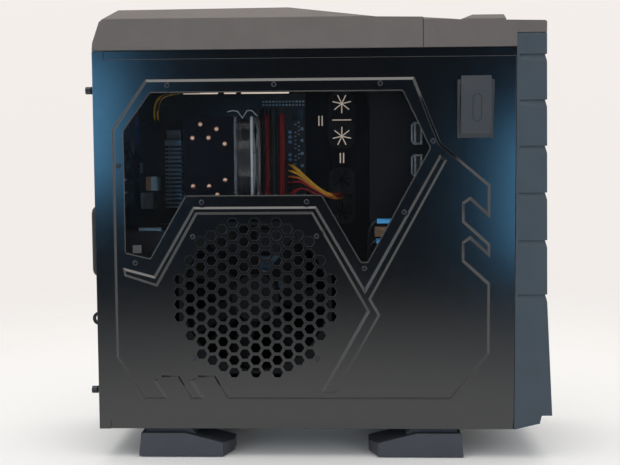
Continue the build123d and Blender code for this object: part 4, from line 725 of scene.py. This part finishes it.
def on_knurl(x, z):
    """Test for every other face round a knurled head on the axis at x and z."""
    step = 2 * math.pi / KNURL_SIDES

    def passes(centre, normal):
        turn = math.atan2(centre.z - z, centre.x - x)
        return abs(normal.y) < 0.1 and int(turn / step + KNURL_SIDES) % 2 == 0

    return passes


def thumbscrews(node, body):
    """Knurled screws that hold a side panel at the rear edge."""
    seat_y = REAR_Y + 0.1 * MM
    parts = []
    for low, high in solids_of(node, THUMBSCREW_APART):
        x, z = (low.x + high.x) / 2, (low.z + high.z) / 2
        collar_y = high.y - KNURL_LENGTH
        head = stud((x, collar_y, z), (x, high.y, z), KNURL_RADIUS, KNURL_SIDES)
        sink_faces(head, on_knurl(x, z), 0.08 * MM, 0.35 * MM)
        sink_faces(head, faces_rear, 0.9 * MM, 0.5 * MM)
        for wide, tall in [(0.6 * MM, 3.4 * MM), (3.4 * MM, 0.6 * MM)]:
            corner = (x - wide, high.y - 1.6 * MM, z - tall)
            cut_away(head, block(corner, (x + wide, high.y + MM, z + tall)))
        collar = stud((x, seat_y, z), (x, collar_y, z), 3.3 * MM, 28)
        soften(collar, 0.4 * MM)
        shank = stud((x, low.y, z), (x, seat_y, z), 1.65 * MM, 16)
        soften(shank, 0.3 * MM)
        parts += [dress(head, DARK_STEEL), dress(collar, DARK_STEEL), dress(shank, STEEL)]
    screws = assemble(parts, "knurled_" + node, body, 30.0)
    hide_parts(node)


# Board, cooler and card

MAIN_WIRE_RADIUS = 1.15 * MM
PROCESSOR_WIRE_RADIUS = 1.2 * MM
CLIP_WIRE_RADIUS = 0.8 * MM
CARD_EDGE_X = BOARD_X - 112 * MM

# In millimetres, as spot takes its places
GROMMET = (322.5, 301)
BUNDLE_RADIUS = 3.4
TRAY_SLOTS = [(87, 139), (148, 166), (173.5, 244.5)]
TRAY_SLOT_LOW, TRAY_SLOT_MID, TRAY_SLOT_HIGH = 452.8, 455.2, 457.6
FAN_CLIP = [
    (172.6, 417.7), (179, 419.3), (186, 418.4), (192.3, 409.5),
    (198.5, 419.3), (204.8, 419.3), (211.9, 412),
]
FAN_MIDDLE = 352


def capacitor(forward, up, radius, height, finish):
    """Upright can on the board with a scored top."""
    foot = spot(forward, up, BOARD_X)
    can = stud(foot, foot - Vector((height * MM, 0, 0)), radius * MM)
    sink_faces(can, faces_window, 0.16 * radius * MM, 0.06 * radius * MM)
    soften(can, 0.12 * radius * MM)
    return dress(can, finish)


def chip(rear, front, low, high, height, finish, rim=0.6):
    """Flat package on the board with a shallow step round its top."""
    package = block(spot(rear, low, BOARD_X), spot(front, high, BOARD_X - height * MM))
    sink_faces(package, faces_window, rim * MM, 0.25 * MM)
    soften(package, 0.25 * MM)
    return dress(package, finish)


def board_details():
    """Cans, connectors, chips and the rows of small parts on the board."""
    cans = [(246.5, up, 2.6, 9.0, CAN_BLUE) for up in (395, 388, 381, 362, 355)]
    cans += [(264.0, up, 2.4, 8.0, CAN_GREY) for up in (400, 383, 364, 346)]
    cans += [(97.0 + 6.5 * (i % 2), 300 + 9.5 * i, 3.0, 8.5, CAN_GREY) for i in range(9)]
    cans += [(30.0 + 9.0 * i, 250.0, 3.0, 9.0, CAN_BLUE) for i in range(5)]
    chips = [
        (90, 101, 392, 403, 7.0, FAN_PLASTIC, 1.5),
        (104, 115, 392, 403, 7.0, FAN_PLASTIC, 1.5),
        (67, 88, 385, 399, 24.0, DARK_METAL, 2.0),
        (250, 266, 412, 428, 6.0, FAN_PLASTIC),
        (36, 44, 311, 331, 27.0, TAN_PLASTIC),
        (44, 53, 311, 331, 29.0, PALE_BLUE),
        (28, 46, 284, 308, 25.0, STEEL),
        (24, 28, 336, 352, 8.0, CAN_GREY),
        (243, 262, 254, 266, 9.0, FAN_PLASTIC),
        (243, 262, 269, 281, 9.0, SLOT_RED),
        (243, 262, 284, 296, 9.0, FAN_PLASTIC),
        (120, 170, 268, 274, 5.0, FAN_PLASTIC),
        (200, 214, 240, 254, 2.5, FAN_PLASTIC),
    ]
    small = [CAN_GREY, PALE_BLUE, STEEL, FAN_PLASTIC]
    for i in range(26):
        rear, low = 252.5 + 5.0 * (i % 2), 336 + 2.9 * i
        chips.append((rear, rear + 3.0, low, low + 1.9, 1.6, small[(i * 7 // 3) % 4], 0.4))
        rear, low = 205.5 + 4.9 * (i // 2), 434 + 5.0 * (i % 2)
        chips.append((rear, rear + 3.2, low, low + 2.4, 1.8, small[(i * 5 // 3) % 3], 0.4))
    parts = [capacitor(*can) for can in cans] + [chip(*row) for row in chips]
    assemble(parts, "board_details", "chassis")


def plug_shell(corner, opposite, cuts, rim, depth):
    """Black plug whose outer face has a grid of pressed sockets."""
    shell = block(corner, opposite)
    cut_faces(shell, faces_window, cuts)
    sink_faces(shell, faces_window, rim * MM, depth * MM)
    return dress(shell, FAN_PLASTIC)


def wired_plug():
    """Main board plug with its bundle of single wires, which leaves through the lower grommet."""
    face = BOARD_X - 19 * MM
    parts = [plug_shell(spot(252, 300, face), spot(242, 352, BOARD_X), 5, 0.6, 1.5)]
    colours = [WIRE_RED, WIRE_BLACK, WIRE_RED, WIRE_ORANGE, WIRE_YELLOW, WIRE_YELLOW]
    for row in range(2):
        for i, colour in enumerate(colours):
            forward, up = 244.6 + 4.8 * row, 304.5 + 8.6 * i
            rise = i / 5
            turn = 2 * math.pi * (i + 6 * row) / 12
            aside, above = BUNDLE_RADIUS * math.cos(turn), BUNDLE_RADIUS * math.sin(turn)
            end = (GROMMET[0] + aside, GROMMET[1] + above)
            points = [
                spot(forward, up, face + 1 * MM),
                spot(forward + 2, up, face - (8 + 2 * row) * MM),
                spot(262 + 2 * row, 316 + 20 * rise, face - (13 + 2 * row) * MM),
                spot(285 + 2 * row, 304 + 11 * rise, face - (15 + 2 * row) * MM),
                spot(308 + aside, 300 + 2 * rise + above, face - 11 * MM),
                spot(*end, face + 6 * MM),
                spot(*end, TRAY_HIGH.x + 6 * MM),
            ]
            parts.append(dress(wire(points, MAIN_WIRE_RADIUS), colour))
    bundle = assemble(parts, "main_power_lead", "chassis")
    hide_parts("power_cable")


def processor_lead():
    """Plug of the processor's supply, whose wires leave through the slot above the board."""
    face = BOARD_X - 14 * MM
    parts = [plug_shell(spot(46, 412, face), spot(56, 422, BOARD_X), 1, 0.5, 1.2)]
    for i, colour in enumerate([WIRE_YELLOW, WIRE_YELLOW, WIRE_YELLOW, WIRE_BLACK]):
        forward, up = 48.5 + 5.0 * (i % 2), 414.5 + 5.0 * (i // 2)
        points = [
            spot(forward, up, face + 1 * MM),
            spot(forward, up + 2, face - 7 * MM),
            spot(forward + 1, 436, face - 6 * MM),
            spot(forward + 8, 448 + 1.5 * i, face + 2 * MM),
            spot(86 + 6 * i, 455, BOARD_X - 2 * MM),
            spot(92 + 6 * i, TRAY_SLOT_MID, TRAY_LOW.x - 2 * MM),
            spot(92 + 6 * i, TRAY_SLOT_MID, TRAY_HIGH.x + 5 * MM),
        ]
        parts.append(dress(wire(points, PROCESSOR_WIRE_RADIUS), colour))
    assemble(parts, "processor_power_lead", "chassis")


def slotted_tray():
    """Board tray with the cable slots above the board's upper edge."""
    bpy.ops.object.select_all(action="DESELECT")
    tray = bpy.data.objects.new("slotted_tray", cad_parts["motherboard_tray"].data.copy())
    bpy.context.scene.collection.objects.link(tray)
    merge_corners(tray)
    for rear, front in TRAY_SLOTS:
        corner = spot(rear, TRAY_SLOT_LOW, TRAY_LOW.x - MM)
        cut_away(tray, block(corner, spot(front, TRAY_SLOT_HIGH, TRAY_HIGH.x + MM)))
    assemble([tray], "slotted_tray", "chassis")
    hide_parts("motherboard_tray")


def fan_clips():
    """Spring wires that hold the fan on the fins, hooked over the fan's window-side corners."""
    x = FINS_X - 2.0 * MM
    upper = [spot(forward, up, x) for forward, up in FAN_CLIP]
    lower = [spot(forward, 2 * FAN_MIDDLE - up, x) for forward, up in FAN_CLIP]
    parts = [dress(wire(points, CLIP_WIRE_RADIUS, smooth=False), STEEL) for points in (upper, lower)]
    assemble(parts, "fan_clips", "chassis")


def card_fittings():
    """Bridge connector on the outer edge of the graphics card and a plain clip on its duct."""
    bridge = block(spot(42, 257.8, CARD_EDGE_X), spot(73, 262, CARD_EDGE_X + 6 * MM))
    cut_faces(bridge, faces_window, 5)
    sink_faces(bridge, faces_window, 0.4 * MM, 0.8 * MM)
    clip = block(spot(33, 227, CARD_EDGE_X), spot(45, 238, CARD_EDGE_X + 1.2 * MM))
    sink_faces(clip, faces_window, 1.6 * MM, 0.5 * MM)
    soften(clip, 0.2 * MM)
    assemble([dress(bridge, PALE_BLUE), dress(clip, PALE_GREY)], "card_fittings", "chassis")


# Drive bays and window

BAYS = 6
FILTER_GAP = 0.6 * MM
FILTER_DEPTH = 3.0 * MM
FILTER_MARGIN = 3 * MM
DRIVE_LEAD_RADIUS = 1.7 * MM
HEM_RADIUS = 0.9 * MM
HEM_X = WINDOW_X - HEM_RADIUS

# In millimetres, as spot takes its places: the corners of the window's opening come last
LEAD_END = 402
HEM_RUN = 2.2
HEM_CUT = 0.65
WINDOW_EDGE = [
    (75.5, 442), (401.5, 442), (437, 368), (356, 220.5), (347, 220.5),
    (296.5, 308), (120, 308), (72.5, 226), (39.5, 234), (39.5, 393),
]


def drive_leads():
    """Blue data plugs and a ribbed power plug at the rear of the drive cage, with their leads."""
    x = CAGE_WALL_X - 4.5 * MM
    parts = []
    for rear, front, up, end in [(369, 390, 272.5, 130), (368, 377, 246, 56)]:
        plug = block(spot(rear, up - 3, CAGE_WALL_X), spot(front, up + 3, CAGE_WALL_X - 9 * MM))
        sink_faces(plug, faces_window, 1.0 * MM, 0.5 * MM)
        soften(plug, 0.4 * MM)
        points = [
            spot(rear + 1, up, x),
            spot(rear - 6, up - 1, x),
            spot(rear - 12, up - 20, x + 6 * MM),
            spot(rear - 8, up - 60, x + 16 * MM),
            spot(rear + 8, end + 16, x + 20 * MM),
            spot(LEAD_END, end, x + 22 * MM),
        ]
        parts += [dress(plug, WIRE_BLUE), dress(wire(points, DRIVE_LEAD_RADIUS), WIRE_BLACK)]
    ribbed = block(spot(366, 252, CAGE_WALL_X), spot(381, 265, CAGE_WALL_X - 8 * MM))
    cut_faces(ribbed, faces_window, 4)
    sink_faces(ribbed, faces_window, 0.5 * MM, 1.0 * MM)
    parts.append(dress(ribbed, TAN_PLASTIC))
    assemble(parts, "drive_leads", "chassis")


def dust_filters():
    """Framed foam pad behind each slatted bay cover."""
    pitch = (COVERS_HIGH.z - COVERS_LOW.z) / BAYS
    front = COVERS_HIGH.y + FILTER_GAP
    corner = (COVERS_LOW.x + FILTER_MARGIN, front, COVERS_LOW.z + FILTER_MARGIN)
    opposite = (COVERS_HIGH.x - FILTER_MARGIN, front + FILTER_DEPTH, COVERS_LOW.z + pitch - FILTER_MARGIN)
    pad = block(corner, opposite)
    sink_faces(pad, faces_front, 2.5 * MM, 0.8 * MM)
    soften(pad, 0.4 * MM)
    dress(pad, FOAM)
    pads = [pad] + [copied(pad, Vector((0, 0, i * pitch))) for i in range(1, BAYS)]
    assemble(pads, "dust_filters", "chassis")


def window_hem():
    """Rolled edge of the sheet round the window."""
    corners = [Vector(corner) for corner in WINDOW_EDGE]
    path = [(corners[-1] + corners[0]) / 2]
    for before, corner, after in zip([corners[-1]] + corners, corners, corners[1:] + corners[:1]):
        back, on = (before - corner).normalized(), (after - corner).normalized()
        path += [corner + HEM_RUN * back, corner + HEM_CUT * (back + on), corner + HEM_RUN * on]
    path.append(path[0])
    hem = wire([spot(forward, up, HEM_X) for forward, up in path], HEM_RADIUS, smooth=False)
    assemble([dress(hem, PANEL_PAINT)], "window_hem", "left_panel", 60.0)


# Camera, floor and light

FLOOR_MIDDLE = (0.0, 0.0, 0.0)
FLOOR_RADIUS = 1.9
FLOOR_FADE = [(0.16, 1.0), (0.29, 0.8), (0.46, 0.55), (0.74, 0.25), (0.99, 0.0)]
FLAG_SIZE = (3.8, 4.8, 1.0)
WALL_LOW = (0.88, 0.84, 0.815)
WALL_HIGH = (0.93, 0.88, 0.845)
WALL_LIGHT = (0.80, 0.79, 0.78)
RAYS_SHOWN = ["Camera", "Glossy", "Transmission"]
OBJECT_MIDDLE = (0.0, 0.0, 0.3)
WINDOW_MIDDLE = (-0.05, 0.06, 0.44)
WARM_LIGHT = (1.0, 0.97, 0.94)
OVERHEAD_LIGHT = (1.0, 0.97, 0.93)
COOL_LIGHT = (0.90, 0.96, 1.0)
BLUE_LIGHT = (0.18, 0.57, 1.0)
ROOM_LIGHT = (1.0, 0.86, 0.73)


def add_camera():
    camera = bpy.data.objects.new("camera", bpy.data.cameras.new("camera"))
    bpy.context.scene.collection.objects.link(camera)
    camera.data.lens = CAMERA_LENS
    camera.data.sensor_width = SENSOR_WIDTH
    forward = CAMERA_FORWARD.normalized()
    right = forward.cross(CAMERA_UP).normalized()
    turn = Matrix((right, right.cross(forward), -forward)).transposed()
    camera.matrix_world = Matrix.Translation(CAMERA_PLACE) @ turn.to_4x4()
    bpy.context.scene.camera = camera


def add_floor():
    """Round sheet of pale paper that fades out at its edge."""
    size = {"vertices": 96, "radius": FLOOR_RADIUS, "fill_type": "NGON"}
    floor = begin(bpy.ops.mesh.primitive_circle_add, location=FLOOR_MIDDLE, **size)
    apply_place(floor)
    floor.name = "floor"
    paper = Finish("floor_paper", Specular_IOR_Level=0.2)
    paper.set(Base_Color=paper.blended(paper.noise(0.3), (0.86, 0.86, 0.855), (0.89, 0.89, 0.885)))
    inputs = {0: paper.place, 1: FLOOR_MIDDLE}
    out = paper.add("ShaderNodeVectorMath", {"operation": "DISTANCE"}, inputs, "Value")
    paper.set(Alpha=paper.ramp(out * (1 / FLOOR_RADIUS), *FLOOR_FADE))
    paper.set(Roughness=uneven(0.80, 0.05, paper.noise(20 * MM)))
    dress(floor, paper)


def add_flags():
    """Black studio flag facing each side panel, which only mirrors show."""
    cloth = Finish("flag_cloth", Specular_IOR_Level=0.0, Roughness=0.9)
    cloth.set(Base_Color=cloth.blended(cloth.noise(0.1), (0.02, 0.022, 0.027), (0.028, 0.03, 0.036)))
    for x in (-3.0, 3.0):
        place = {"location": (x, 0.08, 0.5), "rotation": (0, math.pi / 2, 0)}
        flag = begin(bpy.ops.mesh.primitive_plane_add, size=1.0, **place)
        flag.scale = FLAG_SIZE
        apply_place(flag)
        flag.name = "black_flag"
        dress(flag, cloth)
        flag.visible_camera = False
        flag.visible_diffuse = False
        flag.visible_shadow = False


def add_softbox(name, place, target, size, power, colour, mirrored=True, spread=180.0):
    """Rectangular lamp that faces a target."""
    lamp = bpy.data.lights.new(name, "AREA")
    lamp.shape = "RECTANGLE"
    lamp.size, lamp.size_y = size
    lamp.energy = power
    lamp.spread = math.radians(spread)
    lamp.color = colour
    box = bpy.data.objects.new(name, lamp)
    bpy.context.scene.collection.objects.link(box)
    box.location = place
    box.rotation_mode = "QUATERNION"
    box.rotation_quaternion = (Vector(target) - Vector(place)).to_track_quat("-Z", "Y")
    box.visible_glossy = mirrored
    return box


def add_cable_space_light(forward, up, size, level):
    """Room light in the cable space, which shows through the tray's slots and slits."""
    behind = spot(forward, up, TRAY_HIGH.x + 10 * MM)
    target = behind - Vector((1, 0, 0))
    power = level * size[0] * size[1]
    box = add_softbox("cable_space", behind, target, size, power, ROOM_LIGHT, spread=50.0)
    box.visible_camera = True


def add_world():
    """Pale wall all round, a little lighter overhead, that shows brighter than it lights."""
    world = bpy.data.worlds.new("room")
    bpy.context.scene.world = world
    world.use_nodes = True
    room = Nodes(world.node_tree)
    way = room.add("ShaderNodeTexCoord", {}, {}, "Generated")
    height = room.add("ShaderNodeSeparateXYZ", {}, {0: way}, "Z")
    upward = room.ramp(height * 0.5 + 0.5, (0.45, 0.0), (0.75, 1.0))
    wall = room.blended(upward, WALL_LOW, WALL_HIGH)
    camera, mirror, glass = (room.add("ShaderNodeLightPath", {}, {}, "Is %s Ray" % ray) for ray in RAYS_SHOWN)
    seen = room.blended(camera + mirror + glass, WALL_LIGHT, wall)
    room.feed(world.node_tree.nodes["Background"], {"Color": seen})


# The scene

for finish, names in NODES_WITH.items():
    for name in names:
        dress(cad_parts[name], finish)

panel_screws()
thumbscrews("left_thumbscrews", "left_panel")
thumbscrews("right_thumbscrews", "right_panel")
board_details()
wired_plug()
processor_lead()
slotted_tray()
fan_clips()
drive_leads()
card_fittings()
dust_filters()
window_hem()

add_camera()
add_floor()
add_flags()
add_world()
add_softbox("fill", (-2.3, 0.0, 0.85), WINDOW_MIDDLE, (0.5, 0.4), 0.14, WARM_LIGHT, mirrored=False, spread=24.0)
for side in (1, -1):
    add_softbox("side_fill", (-2.2, 1.75 * side, 0.9), OBJECT_MIDDLE, (0.8, 1.0), 6.0, COOL_LIGHT)
add_softbox("overhead", (0.0, 0.0, 2.3), OBJECT_MIDDLE, (2.6, 2.6), 30.0, OVERHEAD_LIGHT)
add_softbox("rear_blue", (-2.6, 1.16, 0.54), OBJECT_MIDDLE, (0.64, 0.52), 4.9, BLUE_LIGHT)
add_softbox("front_blue", (-2.6, -0.90, 0.28), OBJECT_MIDDLE, (0.5, 0.54), 3.6, BLUE_LIGHT)
add_cable_space_light(315, 405, (0.058, 0.116), 0.08)
add_cable_space_light(166, TRAY_SLOT_MID, (0.166, 0.012), 0.19)
